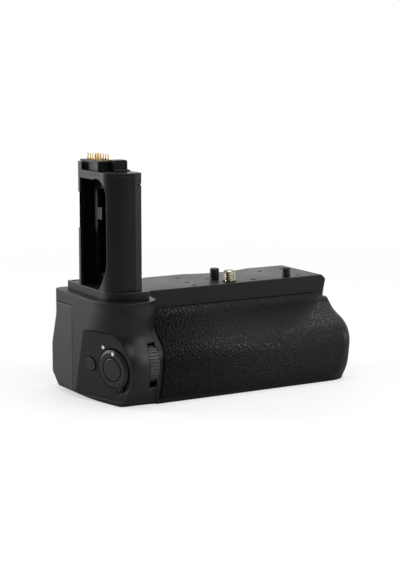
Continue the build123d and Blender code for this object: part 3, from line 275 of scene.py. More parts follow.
def pebbled(name, colour, pebble, rise, fine):
    """Moulded rubber with a leather grain: raised pebbles with soft crowns, and rougher creases painted
    darker as painted shade.
    """
    material, tree = new_material(name)
    place = add_node(tree, "ShaderNodeTexCoord").outputs["Object"]
    warp = add_node(tree, "ShaderNodeTexNoise", {"Vector": place, "Scale": 0.4 / pebble, "Detail": 1.0})
    shift = add_node(
        tree, "ShaderNodeVectorMath", {0: warp.outputs["Color"], 1: (pebble, pebble, pebble)},
        operation="MULTIPLY",
    )
    moved = add_node(tree, "ShaderNodeVectorMath", {0: place, 1: shift.outputs[0]}, operation="ADD")
    cells = add_node(
        tree, "ShaderNodeTexVoronoi", {"Vector": moved.outputs[0], "Scale": 1 / pebble, "Randomness": 1.0},
        feature="DISTANCE_TO_EDGE",
    )
    crown = add_node(
        tree, "ShaderNodeMapRange",
        {"Value": cells.outputs["Distance"], "From Min": 0.0, "From Max": 0.30,
         "To Min": 0.0, "To Max": 1.0},
        interpolation_type="SMOOTHSTEP",
    )
    grit = add_node(tree, "ShaderNodeTexNoise", {"Vector": place, "Scale": 1 / fine, "Detail": 2.0})
    high = add_node(
        tree, "ShaderNodeMath", {0: grit.outputs[0], 1: 0.25, 2: crown.outputs[0]},
        operation="MULTIPLY_ADD",
    )
    bump = add_node(tree, "ShaderNodeBump", {"Height": high.outputs[0], "Distance": rise, "Strength": 1.0})
    base = linear(colour)
    # Painted shade: the creases are painted at a quarter of the rubber's colour
    crease_shade = [c * 0.25 for c in base[:3]] + [1.0]
    tone = add_node(
        tree, "ShaderNodeMix", {"Factor": crown.outputs[0], MIX_A: crease_shade, MIX_B: base}, data_type="RGBA",
    )
    gloss = add_node(tree, "ShaderNodeMapRange", {"Value": crown.outputs[0], "To Min": 0.72, "To Max": 0.27})
    shader = add_node(
        tree, "ShaderNodeBsdfPrincipled",
        {"Base Color": tone.outputs[MIX_OUT], "Roughness": gloss.outputs[0], "Normal": bump.outputs[0],
         "IOR": 1.40},
    )
    surface(tree, shader)
    return material


def plain_moulding(name, colour, roughness, edge=0.00025, crease=0.0, groove_shade=WHITE):
    """Smooth moulded part, such as a button or a seal: even colour with faint handling marks.

    Where crease is given, hollows narrower than it take the darker groove colour, as painted shade.
    """
    material, tree = new_material(name)
    place = add_node(tree, "ShaderNodeTexCoord").outputs["Object"]
    mottle = add_node(tree, "ShaderNodeTexNoise", {"Vector": place, "Scale": MARKS, "Detail": 3.0})
    gloss = add_node(
        tree, "ShaderNodeMapRange",
        {"Value": mottle.outputs[0], "From Min": 0.3, "From Max": 0.7,
         "To Min": roughness - 0.05, "To Max": roughness + 0.06},
    )
    rounded = add_node(tree, "ShaderNodeBevel", {"Radius": edge}, samples=4)
    grain = add_node(tree, "ShaderNodeTexNoise", {"Vector": place, "Scale": FINE_GRAIN, "Detail": 1.0})
    bump = add_node(
        tree, "ShaderNodeBump",
        {"Height": grain.outputs[0], "Distance": 0.00001, "Strength": 0.5, "Normal": rounded.outputs[0]},
    )
    shader = add_node(
        tree, "ShaderNodeBsdfPrincipled",
        {"Base Color": linear(colour), "Roughness": gloss.outputs[0], "Normal": bump.outputs[0], "IOR": 1.5},
    )
    if crease:
        # Painted shade: ambient occlusion darkens the narrow hollows to the groove colour
        open_share = add_node(
            tree, "ShaderNodeAmbientOcclusion", {"Distance": crease}, samples=8, only_local=True,
        )
        out_of_shade = add_node(
            tree, "ShaderNodeMapRange",
            {"Value": open_share.outputs["AO"], "From Min": 0.45, "From Max": 0.95},
        )
        tone = add_node(
            tree, "ShaderNodeMix",
            {"Factor": out_of_shade.outputs[0], MIX_A: linear(groove_shade), MIX_B: linear(colour)}, data_type="RGBA",
        )
        tree.links.new(tone.outputs[MIX_OUT], shader.inputs["Base Color"])
    surface(tree, shader)
    return material


def machined(name, colour, roughness, metallic=1.0):
    """Turned or drawn metal: fine lines round the part that stretch its highlights.

    Each line is 0.12 mm wide, and so is the gap between two.
    """
    line = 0.00012
    material, tree = new_material(name)
    place = add_node(tree, "ShaderNodeTexCoord").outputs["Object"]
    lines = add_node(
        tree, "ShaderNodeTexWave",
        {"Vector": place, "Scale": 0.16 / line, "Distortion": 1.5, "Detail": 2.0}, bands_direction="Z",
    )
    stain = add_node(tree, "ShaderNodeTexNoise", {"Vector": place, "Scale": STAINS, "Detail": 3.0})
    gloss = add_node(
        tree, "ShaderNodeMapRange",
        {"Value": stain.outputs[0], "From Min": 0.3, "From Max": 0.7,
         "To Min": roughness - 0.06, "To Max": roughness + 0.08},
    )
    base = linear(colour)
    stained = [c * 0.78 for c in base[:3]] + [1.0]
    tone = add_node(
        tree, "ShaderNodeMix", {"Factor": stain.outputs[0], MIX_A: base, MIX_B: stained},
        data_type="RGBA",
    )
    bump = add_node(
        tree, "ShaderNodeBump", {"Height": lines.outputs["Fac"], "Distance": 0.000012, "Strength": 0.6},
    )
    shader = add_node(
        tree, "ShaderNodeBsdfPrincipled",
        {"Base Color": tone.outputs[MIX_OUT], "Roughness": gloss.outputs[0], "Metallic": metallic,
         "Normal": bump.outputs[0]},
    )
    surface(tree, shader)
    return material


def dress(material, *names):
    """Give CAD nodes their material."""
    for name in names:
        mesh = NODES[name].data
        mesh.materials.clear()
        mesh.materials.append(material)


def finished(name, mesh, material, body, node):
    """Put a finished mesh at the origin, riding on its body in place of its CAD node."""
    mesh.name = name
    mesh.materials.clear()
    mesh.materials.append(material)
    piece = bpy.data.objects.new(name, mesh)
    bpy.context.scene.collection.objects.link(piece)
    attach(piece, body)
    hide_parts(node)


def solids(name):
    """Centre and lowest and highest corner of each separate solid in a CAD node."""
    copy = bmesh.new()
    copy.from_mesh(NODES[name].data)
    bmesh.ops.remove_doubles(copy, verts=copy.verts, dist=1e-6)
    left = set(copy.verts)
    found = []
    while left:
        reach = [left.pop()]
        island = []
        while reach:
            vertex = reach.pop()
            island.append(vertex.co.copy())
            for edge in vertex.link_edges:
                other = edge.other_vert(vertex)
                if other in left:
                    left.remove(other)
                    reach.append(other)
        low = Vector([min(p[i] for p in island) for i in range(3)])
        high = Vector([max(p[i] for p in island) for i in range(3)])
        found.append(((low + high) / 2, low, high))
    copy.free()
    return sorted(found, key=lambda item: (round(item[0].x, 5), round(item[0].y, 5)))


def ring(mesh, radius, height, steps):
    """Circle of vertices about Z."""
    turns = [2 * math.pi * i / steps for i in range(steps)]
    return [mesh.verts.new((radius * math.cos(t), radius * math.sin(t), height)) for t in turns]


def bridge(mesh, rings):
    """Faces between rings of vertices that follow each other."""
    for a, b in zip(rings, rings[1:]):
        for i in range(len(a)):
            j = (i + 1) % len(a)
            mesh.faces.new((a[i], a[j], b[j], b[i]))


def lathe(mesh, profile, steps):
    """Closed solid of revolution about Z from (radius, height) pairs that start and end on the axis."""
    rings = []
    for radius, height in profile:
        if radius:
            rings.append(ring(mesh, radius, height, steps))
        else:
            rings.append([mesh.verts.new((0, 0, height))])
    for low, high in zip(rings, rings[1:]):
        for i in range(steps):
            j = (i + 1) % steps
            corners = [low[i % len(low)], low[j % len(low)], high[j % len(high)], high[i % len(high)]]
            unique = list(dict.fromkeys(corners))
            if len(unique) > 2:
                mesh.faces.new(unique)


def instance_tree(name, piece):
    """Geometry Nodes tree: one copy of a shape on each point, with its material, made real."""
    tree = bpy.data.node_groups.new(name, "GeometryNodeTree")
    tree.interface.new_socket("Points", in_out="INPUT", socket_type="NodeSocketGeometry")
    tree.interface.new_socket("Size", in_out="INPUT", socket_type="NodeSocketFloat")
    tree.interface.new_socket("Turn", in_out="INPUT", socket_type="NodeSocketFloat")
    tree.interface.new_socket("Seed", in_out="INPUT", socket_type="NodeSocketInt")
    tree.interface.new_socket("Finish", in_out="INPUT", socket_type="NodeSocketMaterial")
    tree.interface.new_socket("Copies", in_out="OUTPUT", socket_type="NodeSocketGeometry")
    given = add_node(tree, "NodeGroupInput")
    shape = add_node(tree, "GeometryNodeObjectInfo", {"Object": piece})
    spin = add_node(
        tree, "FunctionNodeRandomValue",
        {"Max": given.outputs["Turn"], "Seed": given.outputs["Seed"]}, data_type="FLOAT",
    )
    turn = add_node(tree, "ShaderNodeCombineXYZ", {"Z": spin.outputs[1]})
    copies = add_node(
        tree, "GeometryNodeInstanceOnPoints",
        {"Points": given.outputs["Points"], "Instance": shape.outputs["Geometry"],
         "Rotation": turn.outputs[0], "Scale": given.outputs["Size"]},
    )
    real = add_node(tree, "GeometryNodeRealizeInstances", {"Geometry": copies.outputs[0]})
    finish = add_node(
        tree, "GeometryNodeSetMaterial",
        {"Geometry": real.outputs[0], "Material": given.outputs["Finish"]},
    )
    add_node(tree, "NodeGroupOutput", {"Copies": finish.outputs[0]})
    return tree


def copies_at(points, shape, name, material, size=1.0, turn=0.0, seed=1):
    """Mesh with a copy of a shape at each point, made by Geometry Nodes."""
    holder = bpy.data.meshes.new(name + "_shape")
    shape.to_mesh(holder)
    shape.free()
    source = bpy.data.objects.new(name + "_shape", holder)
    bpy.context.scene.collection.objects.link(source)
    spots = bpy.data.meshes.new(name + "_points")
    spots.from_pydata([tuple(p) for p in points], [], [])
    carrier = bpy.data.objects.new(name + "_points", spots)
    bpy.context.scene.collection.objects.link(carrier)
    tree = instance_tree(name + "_copies", source)
    modifier = carrier.modifiers.new("Copies", "NODES")
    modifier.node_group = tree
    ids = {item.name: item.identifier for item in tree.interface.items_tree if item.in_out == "INPUT"}
    modifier[ids["Size"]] = size
    modifier[ids["Turn"]] = turn
    modifier[ids["Seed"]] = seed
    modifier[ids["Finish"]] = material
    view = bpy.context.evaluated_depsgraph_get()
    mesh = bpy.data.meshes.new_from_object(carrier.evaluated_get(view))
    carrier.modifiers.remove(modifier)
    bpy.data.objects.remove(carrier)
    bpy.data.objects.remove(source)
    return mesh


def path_points(corners, radii, step):
    """Points along a path with rounded corners, each with its normal to the left of travel."""
    stretches = []
    count = len(corners)
    start = Vector(corners[0])
    for i in range(1, count):
        corner = Vector(corners[i])
        if i == count - 1 or radii[i] == 0:
            stretches.append(("line", start, corner))
            start = corner
            continue
        before = (Vector(corners[i - 1]) - corner).normalized()
        after = (Vector(corners[i + 1]) - corner).normalized()
        half = math.acos(max(-1.0, min(1.0, before.dot(after)))) / 2
        reach = radii[i] / math.tan(half)
        first = corner + before * reach
        last = corner + after * reach
        centre = corner + (before + after).normalized() * radii[i] / math.sin(half)
        stretches.append(("line", start, first))
        stretches.append(("arc", first, last, centre, radii[i]))
        start = last
    points = []
    for stretch in stretches:
        if stretch[0] == "line":
            length = (stretch[2] - stretch[1]).length
            parts = max(1, round(length / step))
            points += [stretch[1].lerp(stretch[2], k / parts) for k in range(parts)]
        else:
            first, last, centre, radius = stretch[1:]
            a, b = first - centre, last - centre
            angle = math.atan2(a.x * b.y - a.y * b.x, a.dot(b))
            parts = max(2, round(abs(angle) * radius / step))
            for k in range(parts):
                t = angle * k / parts
                points.append(centre + Vector((
                    a.x * math.cos(t) - a.y * math.sin(t), a.x * math.sin(t) + a.y * math.cos(t),
                )))
    points.append(stretches[-1][2])
    result = []
    for i, point in enumerate(points):
        along = (points[min(i + 1, len(points) - 1)] - points[max(i - 1, 0)]).normalized()
        result.append((point, Vector((-along.y, along.x))))
    return result


def hashed(i, j, k):
    """Steady pseudo-random number from three whole numbers, from 0 to 1."""
    n = (i * 73856093) ^ (j * 19349663) ^ (k * 83492791)
    n = (n ^ (n >> 13)) * 1274126177 & 0xFFFFFFFF
    return ((n ^ (n >> 16)) & 0xFFFF) / 0xFFFF


def pebble_height(u, v):
    """Height share of the leather grain at a place on the skin, in pebble widths."""
    u += 0.25 * math.sin(v * 1.7) + 0.2 * math.sin(u * 0.9 + v * 0.6)
    v += 0.25 * math.sin(u * 1.3 + 1.0)
    iu, iv = math.floor(u), math.floor(v)
    near = far = 9.0
    for a in (-1, 0, 1):
        for b in (-1, 0, 1):
            cu, cv = iu + a, iv + b
            du = cu + 0.15 + 0.7 * hashed(cu, cv, 1) - u
            dv = (cv + 0.15 + 0.7 * hashed(cu, cv, 2) - v) * 1.15
            gap = du * du + dv * dv
            if gap < near:
                near, far = gap, near
            elif gap < far:
                far = gap
    edge = math.sqrt(far) - math.sqrt(near)
    return min(1.0, edge / 0.42) ** 0.6


class GRIP_OT_housing(bpy.types.Operator):
    """Finish the shells, the tower and the plates"""

    bl_idname = "grip.housing"
    bl_label = "Housing"

    def execute(self, context):
        colours = context.scene.grip_colours
        sizes = context.scene.grip_sizes
        # Housing: glass-filled ABS, moulded with a fine spark grain that looks matt from afar
        housing = moulded(
            "abs_spark_grain", colours.housing, sizes.spark, depth=0.00003, roughness=0.40, edge=0.0009,
        )
        dress(housing, "front_shell", "base_plate", "tray_cap", "tower_flange")
        # Rear housing: painted a little paler than the front, as painted light to match its brightly lit
        # left end
        rear = moulded(
            "abs_spark_grain_rear_painted_paler", colours.back, sizes.spark, depth=0.00003, roughness=0.42, edge=0.0009,
        )
        dress(rear, "rear_shell")
        # Tower: the same plastic from a finer mould, so it shines a little more
        tower = moulded(
            "abs_fine_grain", colours.tower, sizes.spark * 0.7, depth=0.00002, roughness=0.34, edge=0.0004,
        )
        dress(tower, "tower_shell", "tower_cap", "key_block", "connector_block")
        # Deck: a coarser grain that sparkles at a low angle
        deck = moulded(
            "abs_coarse_grain", colours.deck, sizes.deck_grain, depth=0.00006, roughness=0.40, edge=0.0004,
        )
        dress(deck, "top_plate")
        # Liner and tray: plain black polycarbonate, smoother than the outside
        liner = plain_moulding("polycarbonate_black", colours.liner, roughness=0.46)
        dress(liner, "tower_liner", "battery_tray", "bay_contact_block", "connector_plate")
        return {"FINISHED"}


class GRIP_OT_controls(bpy.types.Operator):
    """Finish the buttons, the ring, the dials and the wheel"""

    bl_idname = "grip.controls"
    bl_label = "Controls"

    def execute(self, context):
        colours = context.scene.grip_colours
        # Controls: acetal or ABS with a satin face that takes a soft highlight
        control = plain_moulding("acetal_satin", colours.control, roughness=0.40, edge=0.0003)
        dress(
            control, "release_button", "function_button", "rear_button_1", "rear_button_2",
            "lock_ring", "tray_latch",
        )
        # Dials and wheel: the same plastic in a paler colour with moulded ribs, whose grooves are painted
        # dark as painted shade
        ribbed = plain_moulding(
            "acetal_ribbed", colours.rib, roughness=0.36, edge=0.00015, crease=0.0012, groove_shade=colours.groove_shade,
        )
        dress(ribbed, "front_dial", "rear_dial", "attachment_wheel")
        # Index dots: pad-printed white ink, nearly flat
        mark = plain_moulding("ink_white", colours.mark, roughness=0.55)
        dress(mark, "ring_dot", "body_dot")
        # Seals: silicone rubber, dull
        seal = plain_moulding("silicone_black", colours.seal, roughness=0.62)
        dress(seal, "tray_seal", "tower_gasket")
        return {"FINISHED"}


class GRIP_OT_metals(bpy.types.Operator):
    """Finish the metal parts and the boards"""

    bl_idname = "grip.metals"
    bl_label = "Metals and boards"

    def execute(self, context):
        colours = context.scene.grip_colours
        # Frame, axles and cam: pressed and ground steel
        steel = machined("steel_ground", colours.steel, roughness=0.36)
        dress(steel, "frame", "wheel_axle", "front_dial_axle", "rear_dial_axle", "latch_cam")
        # Gears and bush: free-cutting brass, turned
        brass = machined("brass_turned", colours.brass, roughness=0.30)
        dress(brass, "tripod_bush", "wheel_gear", "screw_gear")
        # Pads: gold on nickel, smooth
        gold = machined("gold_plate", colours.gold, roughness=0.22)
        dress(gold, "tray_pads", "bay_contacts")
        # Pins and ring: blackened steel, whose oxide hides the metal and shines softly
        black = machined("steel_blackened", colours.pin, roughness=0.38, metallic=0.0)
        dress(black, "locating_pin_a", "locating_pin_b", "screw_ring")
        # Boards: glass-epoxy under green solder mask
        board = plain_moulding("solder_mask", colours.board, roughness=0.28)
        dress(board, "control_board", "rear_boards", "main_board")
        # Switches and chip: moulded epoxy, dull black
        epoxy = plain_moulding("epoxy_black", colours.chip, roughness=0.5)
        dress(epoxy, "control_switches", "rear_switches", "main_chip")
        return {"FINISHED"}


class GRIP_OT_rubber(bpy.types.Operator):
    """Make the pebbled skin of the hand grip and finish the thumb rubber"""

    bl_idname = "grip.rubber"
    bl_label = "Rubber"

    def execute(self, context):
        colours = context.scene.grip_colours
        sizes = context.scene.grip_sizes
        # Grip rubber: thermoplastic elastomer moulded with a leather grain, which shows as bump
        rubber = pebbled(
            "elastomer_leather_grain", colours.rubber, sizes.pebble,
            rise=sizes.pebble_rise * 0.6, fine=sizes.pebble / 4,
        )
        dress(rubber, "thumb_rubber")
        low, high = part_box("grip_rubber")
        # The grip's section from the deck down to the base, in millimetres: corners and their bends
        corners = [(-5.7, SKIN_TOP), (-5.7, 38.8), (-31.2, 26.2), (-31.2, 7.5), (-29.2, 0.0)]
        bends = [0, 5.0, 11.0, 16.0, 0]
        path = path_points(corners, bends, sizes.skin_step / MM)
        path = [(p, n) for p, n in path if low.z / MM - 1e-6 <= p.y <= high.z / MM + SKIN_CROWN]
        mesh = bmesh.new()
        pebbles = []
        smooth = []
        travelled = 0.0
        previous = path[0][0]
        columns = round((high.x - low.x) / sizes.skin_step)
        right = high.x / MM
        for place, normal in path:
            travelled += (place - previous).length
            previous = place
            z = min(place.y, SKIN_TOP)
            left = left_edge(z)
            end = right_edge(z, right)
            rows = ([], [])
            for i in range(columns + 1):
                x = left + (end - left) * i / columns
                inset = min(x - left, end - x, SKIN_TOP - z, z - SKIN_FOOT) / SKIN_LIP
                rim = max(0.0, min(inset, 1.0)) ** 0.5
                rise = pebble_height(x * MM / sizes.pebble, travelled * MM / sizes.pebble)
                crown = SKIN_CROWN - sizes.pebble_rise / MM * (1.0 - rise)
                along = -SKIN_BORDER + (crown + SKIN_BORDER) * rim
                rows[0].append(mesh.verts.new(self.spot(x, place, normal, along)))
                rows[1].append(mesh.verts.new(self.spot(x, place, normal, -SKIN_SMOOTH)))
            pebbles.append(rows[0])
            smooth.append(rows[1])
        for a, b in zip(pebbles, pebbles[1:]):
            for i in range(columns):
                mesh.faces.new((a[i], a[i + 1], b[i + 1], b[i]))
        self.close(mesh, pebbles, smooth, columns)
        unused = [v for row in smooth[1:-1] for v in row[1:-1]]
        bmesh.ops.delete(mesh, geom=unused, context="VERTS")
        bmesh.ops.recalc_face_normals(mesh, faces=mesh.faces)
        for face in mesh.faces:
            face.smooth = True
        skin = bpy.data.meshes.new("pebbled_skin")
        mesh.to_mesh(skin)
        mesh.free()
        finished("pebbled_skin", skin, rubber, "grip", "grip_rubber")
        return {"FINISHED"}

    @staticmethod
    def spot(x, place, normal, along):
        """Point of the skin, from a place on the section along its normal."""
        return (x * MM, (place.x + normal.x * along) * MM, (place.y + normal.y * along) * MM)

    @staticmethod
    def close(mesh, pebbles, smooth, columns):
        """Walls round the skin, and its smooth side as one wide face for each row."""
        for i in range(columns):
            mesh.faces.new((pebbles[0][i], smooth[0][i], smooth[0][i + 1], pebbles[0][i + 1]))
            mesh.faces.new((pebbles[-1][i], pebbles[-1][i + 1], smooth[-1][i + 1], smooth[-1][i]))
        for k in range(len(pebbles) - 1):
            mesh.faces.new((pebbles[k][0], pebbles[k + 1][0], smooth[k + 1][0], smooth[k][0]))
            mesh.faces.new((pebbles[k][-1], smooth[k][-1], smooth[k + 1][-1], pebbles[k + 1][-1]))
        for k in range(len(smooth) - 1):
            mesh.faces.new((smooth[k][0], smooth[k + 1][0], smooth[k + 1][-1], smooth[k][-1]))


def right_edge(z, right):
    """X of the rubber's right edge at height z, in millimetres: two round corners on a straight side."""
    corner, heel, heel_top = 3.0, 29.8, 20.0
    if z < heel_top:
        return right - heel + math.sqrt(heel ** 2 - (heel_top - z) ** 2)
    return right - corner + math.sqrt(max(0.0, corner ** 2 - max(0.0, z - SKIN_TOP + corner) ** 2))


def left_edge(z):
    """X of the rubber's left edge at height z, in millimetres: an arc above, a straight line below."""
    top, hip, waist, foot = (-45.4, SKIN_TOP), (-53.5, 31.35), (-56.2, 20.0), (-58.1, 2.6)
    if z <= waist[1]:
        return foot[0] + (waist[0] - foot[0]) * (z - foot[1]) / (waist[1] - foot[1])
    (x1, y1), (x2, y2), (x3, y3) = top, hip, waist
    d = 2 * (x1 * (y2 - y3) + x2 * (y3 - y1) + x3 * (y1 - y2))
    a, b, c = x1 * x1 + y1 * y1, x2 * x2 + y2 * y2, x3 * x3 + y3 * y3
    cx = (a * (y2 - y3) + b * (y3 - y1) + c * (y1 - y2)) / d
    cy = (a * (x3 - x2) + b * (x1 - x3) + c * (x2 - x1)) / d
    radius = math.hypot(x1 - cx, y1 - cy)
    side = 1 if x2 > cx else -1
    return cx + side * math.sqrt(max(0.0, radius ** 2 - (z - cy) ** 2))


class GRIP_OT_screw(bpy.types.Operator):
    """Make the camera screw with its cut thread and slot"""

    bl_idname = "grip.screw"
    bl_label = "Camera screw"

    def execute(self, context):
        colours = context.scene.grip_colours
        sizes = context.scene.grip_sizes
        low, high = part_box("camera_screw")
        radius = (high.x - low.x) / 2
        steps = 64
        # Journal, gear seat and neck below the thread, as radius and height
        journal, seat, neck = 0.0015, 0.0026, 0.0024
        seat_low, seat_high, thread_low = 0.0312, 0.0504, 0.0521
        profile = [
            (journal, low.z), (journal, seat_low), (seat, seat_low),
            (seat, seat_high), (neck, seat_high), (neck, thread_low - 0.1 * MM),
        ]
        # The thread grows out of the neck and fades into the tip, with a narrow flat on its crest
        run_in, run_out, tip, flat = 0.6 * MM, 0.7 * MM, 0.4 * MM, 0.12
        flank = 1.0 - 2 * flat
        mesh = bmesh.new()
        rings = [ring(mesh, r, h, steps) for r, h in profile]
        foot = mesh.verts.new((0, 0, low.z))
        for i in range(steps):
            mesh.faces.new((foot, rings[0][(i + 1) % steps], rings[0][i]))
        height = thread_low
        while height < high.z - tip:
            turn = []
            fade = min(1.0, (height - thread_low) / run_in, (high.z - height) / run_out)
            for i in range(steps):
                phase = (height / sizes.thread_pitch - i / steps) % 1.0
                ridge = 1.0 - min(1.0, max(0.0, abs(phase - 0.5) * 2 - flat) / flank)
                r = radius - sizes.thread_depth * (1.0 - ridge * max(0.0, fade))
                angle = 2 * math.pi * i / steps
                turn.append(mesh.verts.new((r * math.cos(angle), r * math.sin(angle), height)))
            rings.append(turn)
            height += sizes.thread_pitch / 10
        rings.append(ring(mesh, radius - sizes.thread_depth - 0.1 * MM, high.z, steps))
        bridge(mesh, rings)
        point = mesh.verts.new((0, 0, high.z))
        for i in range(steps):
            mesh.faces.new((point, rings[-1][i], rings[-1][(i + 1) % steps]))
        bmesh.ops.recalc_face_normals(mesh, faces=mesh.faces)
        solid = bpy.data.meshes.new("threaded_screw")
        mesh.to_mesh(solid)
        mesh.free()
        blank = bpy.data.objects.new("screw_blank", solid)
        bpy.context.scene.collection.objects.link(blank)
        # Driver slot across the tip: wider than the screw, 1.2 mm wide and 1.4 mm deep
        slot = (0.010, 0.0012, 0.0028)
        cutter = bpy.data.objects.new("slot_cutter", bpy.data.meshes.new("slot_cutter"))
        tool = bmesh.new()
        bmesh.ops.create_cube(tool, size=1.0)
        bmesh.ops.scale(tool, vec=slot, verts=tool.verts)
        bmesh.ops.translate(tool, vec=(0, 0, high.z), verts=tool.verts)
        tool.to_mesh(cutter.data)
        tool.free()
        bpy.context.scene.collection.objects.link(cutter)
        cut = blank.modifiers.new("Slot", "BOOLEAN")
        cut.object = cutter
        cut.operation = "DIFFERENCE"
        cut.solver = "EXACT"
        view = bpy.context.evaluated_depsgraph_get()
        ready = bpy.data.meshes.new_from_object(blank.evaluated_get(view))
        bpy.data.objects.remove(blank)
        bpy.data.objects.remove(cutter)
        # Camera screw: nickel-plated brass, turned, with the brass showing warm through
        nickel = machined("brass_nickel_plated", colours.screw, roughness=0.24)
        finished("threaded_screw", ready, nickel, "screw", "camera_screw")
        return {"FINISHED"}


class GRIP_OT_small_screws(bpy.types.Operator):
    """Make the small cross-head screws in the deck and the base"""

    bl_idname = "grip.small_screws"
    bl_label = "Small screws"

    def execute(self, context):
        colours = context.scene.grip_colours
        sizes = context.scene.grip_sizes
        # Small screws: zinc-plated steel, blackened
        black = machined("steel_black_zinc", colours.pin, roughness=0.34, metallic=0.0)
        for node, name, down in (
            ("deck_screws", "deck_screw_heads", False), ("base_screws", "base_screw_heads", True),
        ):
            found = solids(node)
            low, high = found[0][1], found[0][2]
            radius = (high.x - low.x) / 2
            height = high.z - low.z
            deep = min(sizes.cross_depth, height * 0.6)
            shape = self.head(radius, height, sizes.cross_width * radius, deep)
            if down:
                bmesh.ops.rotate(shape, verts=shape.verts, matrix=Matrix.Rotation(math.pi, 3, "X"))
            centres = [item[0] for item in found]
            mesh = copies_at(centres, shape, name, black, turn=math.pi, seed=7)
            finished(name, mesh, black, "grip", node)
        return {"FINISHED"}

    @staticmethod
    def head(radius, height, half, depth):
        """Pan head with a cross recess, centred on its own middle."""
        mesh = bmesh.new()
        steps = 32
        arm = radius * 0.62
        crown = radius * 0.12
        taper = 0.8
        outline = []
        for turn in range(4):
            c, s = math.cos(turn * math.pi / 2), math.sin(turn * math.pi / 2)
            for x, y in ((half, half), (arm, half), (arm, -half)):
                outline.append((x * c - y * s, x * s + y * c))
        outline = set((round(x, 8), round(y, 8)) for x, y in outline)
        outline = sorted(outline, key=lambda p: math.atan2(p[1], p[0]))
        rings = [
            ring(mesh, radius, -height / 2, steps),
            ring(mesh, radius, height / 2 - crown, steps),
            ring(mesh, radius - crown, height / 2, steps),
        ]
        mesh.faces.new(list(reversed(rings[0])))
        bridge(mesh, rings)
        rim = [mesh.verts.new((x, y, height / 2)) for x, y in outline]
        floor = [mesh.verts.new((x * taper, y * taper, height / 2 - depth)) for x, y in outline]
        bridge(mesh, [rim, floor])
        mesh.faces.new(floor)
        top = rings[-1]
        count = len(rim)
        edges = [mesh.edges.get((rim[i], rim[(i + 1) % count])) for i in range(count)]
        edges += [mesh.edges.get((top[i], top[(i + 1) % steps])) for i in range(steps)]
        bmesh.ops.bridge_loops(mesh, edges=edges)
        bmesh.ops.recalc_face_normals(mesh, faces=mesh.faces)
        return mesh


class GRIP_OT_contacts(bpy.types.Operator):
    """Make the tower's spring pins and the tray's contact leaves"""

    bl_idname = "grip.contacts"
    bl_label = "Contacts"

    def execute(self, context):
        colours = context.scene.grip_colours
        # Contact pins: gold over nickel, a barrel with a thinner plunger and a rounded tip
        gold = machined("gold_over_nickel", colours.gold, roughness=0.20)
        found = solids("contact_pins")
        low, high = found[0][1], found[0][2]
        radius = (high.x - low.x) / 2
        half = (high.z - low.z) / 2
        pin = bmesh.new()
        lathe(pin, [
            (0.0, -half), (radius, -half), (radius, half * 0.25), (radius * 0.72, half * 0.34),
            (radius * 0.72, half - radius * 0.7), (radius * 0.55, half - radius * 0.25),
            (radius * 0.25, half - radius * 0.04), (0.0, half),
        ], 20)
        bmesh.ops.recalc_face_normals(pin, faces=pin.faces)
        for face in pin.faces:
            face.smooth = True
        mesh = copies_at([item[0] for item in found], pin, "spring_pins", gold)
        finished("spring_pins", mesh, gold, "grip", "contact_pins")
        found = solids("tray_leaves")
        low, high = found[0][1], found[0][2]
        # Leaf springs: strips that bow slightly towards the battery and are a third narrower at the tip
        leaf = bmesh.new()
        wide, tall, thick = (high.y - low.y) / 2, (high.z - low.z) / 2, (high.x - low.x) / 2
        half = thick * 0.5
        taper = 0.35
        rows = []
        steps = 14
        for k in range(steps + 1):
            t = k / steps
            z = -tall + 2 * tall * t
            bow = half * math.sin(math.pi * t) - thick * 0.25
            narrow = wide * (1.0 - taper * t)
            rows.append([
                leaf.verts.new((x + bow, y, z))
                for x, y in ((-half, -narrow), (half, -narrow), (half, narrow), (-half, narrow))
            ])
        leaf.faces.new(list(reversed(rows[0])))
        leaf.faces.new(rows[-1])
        bridge(leaf, rows)
        bmesh.ops.recalc_face_normals(leaf, faces=leaf.faces)
        mesh = copies_at([item[0] for item in found], leaf, "leaf_springs", gold)
        finished("leaf_springs", mesh, gold, "tray", "tray_leaves")
        return {"FINISHED"}


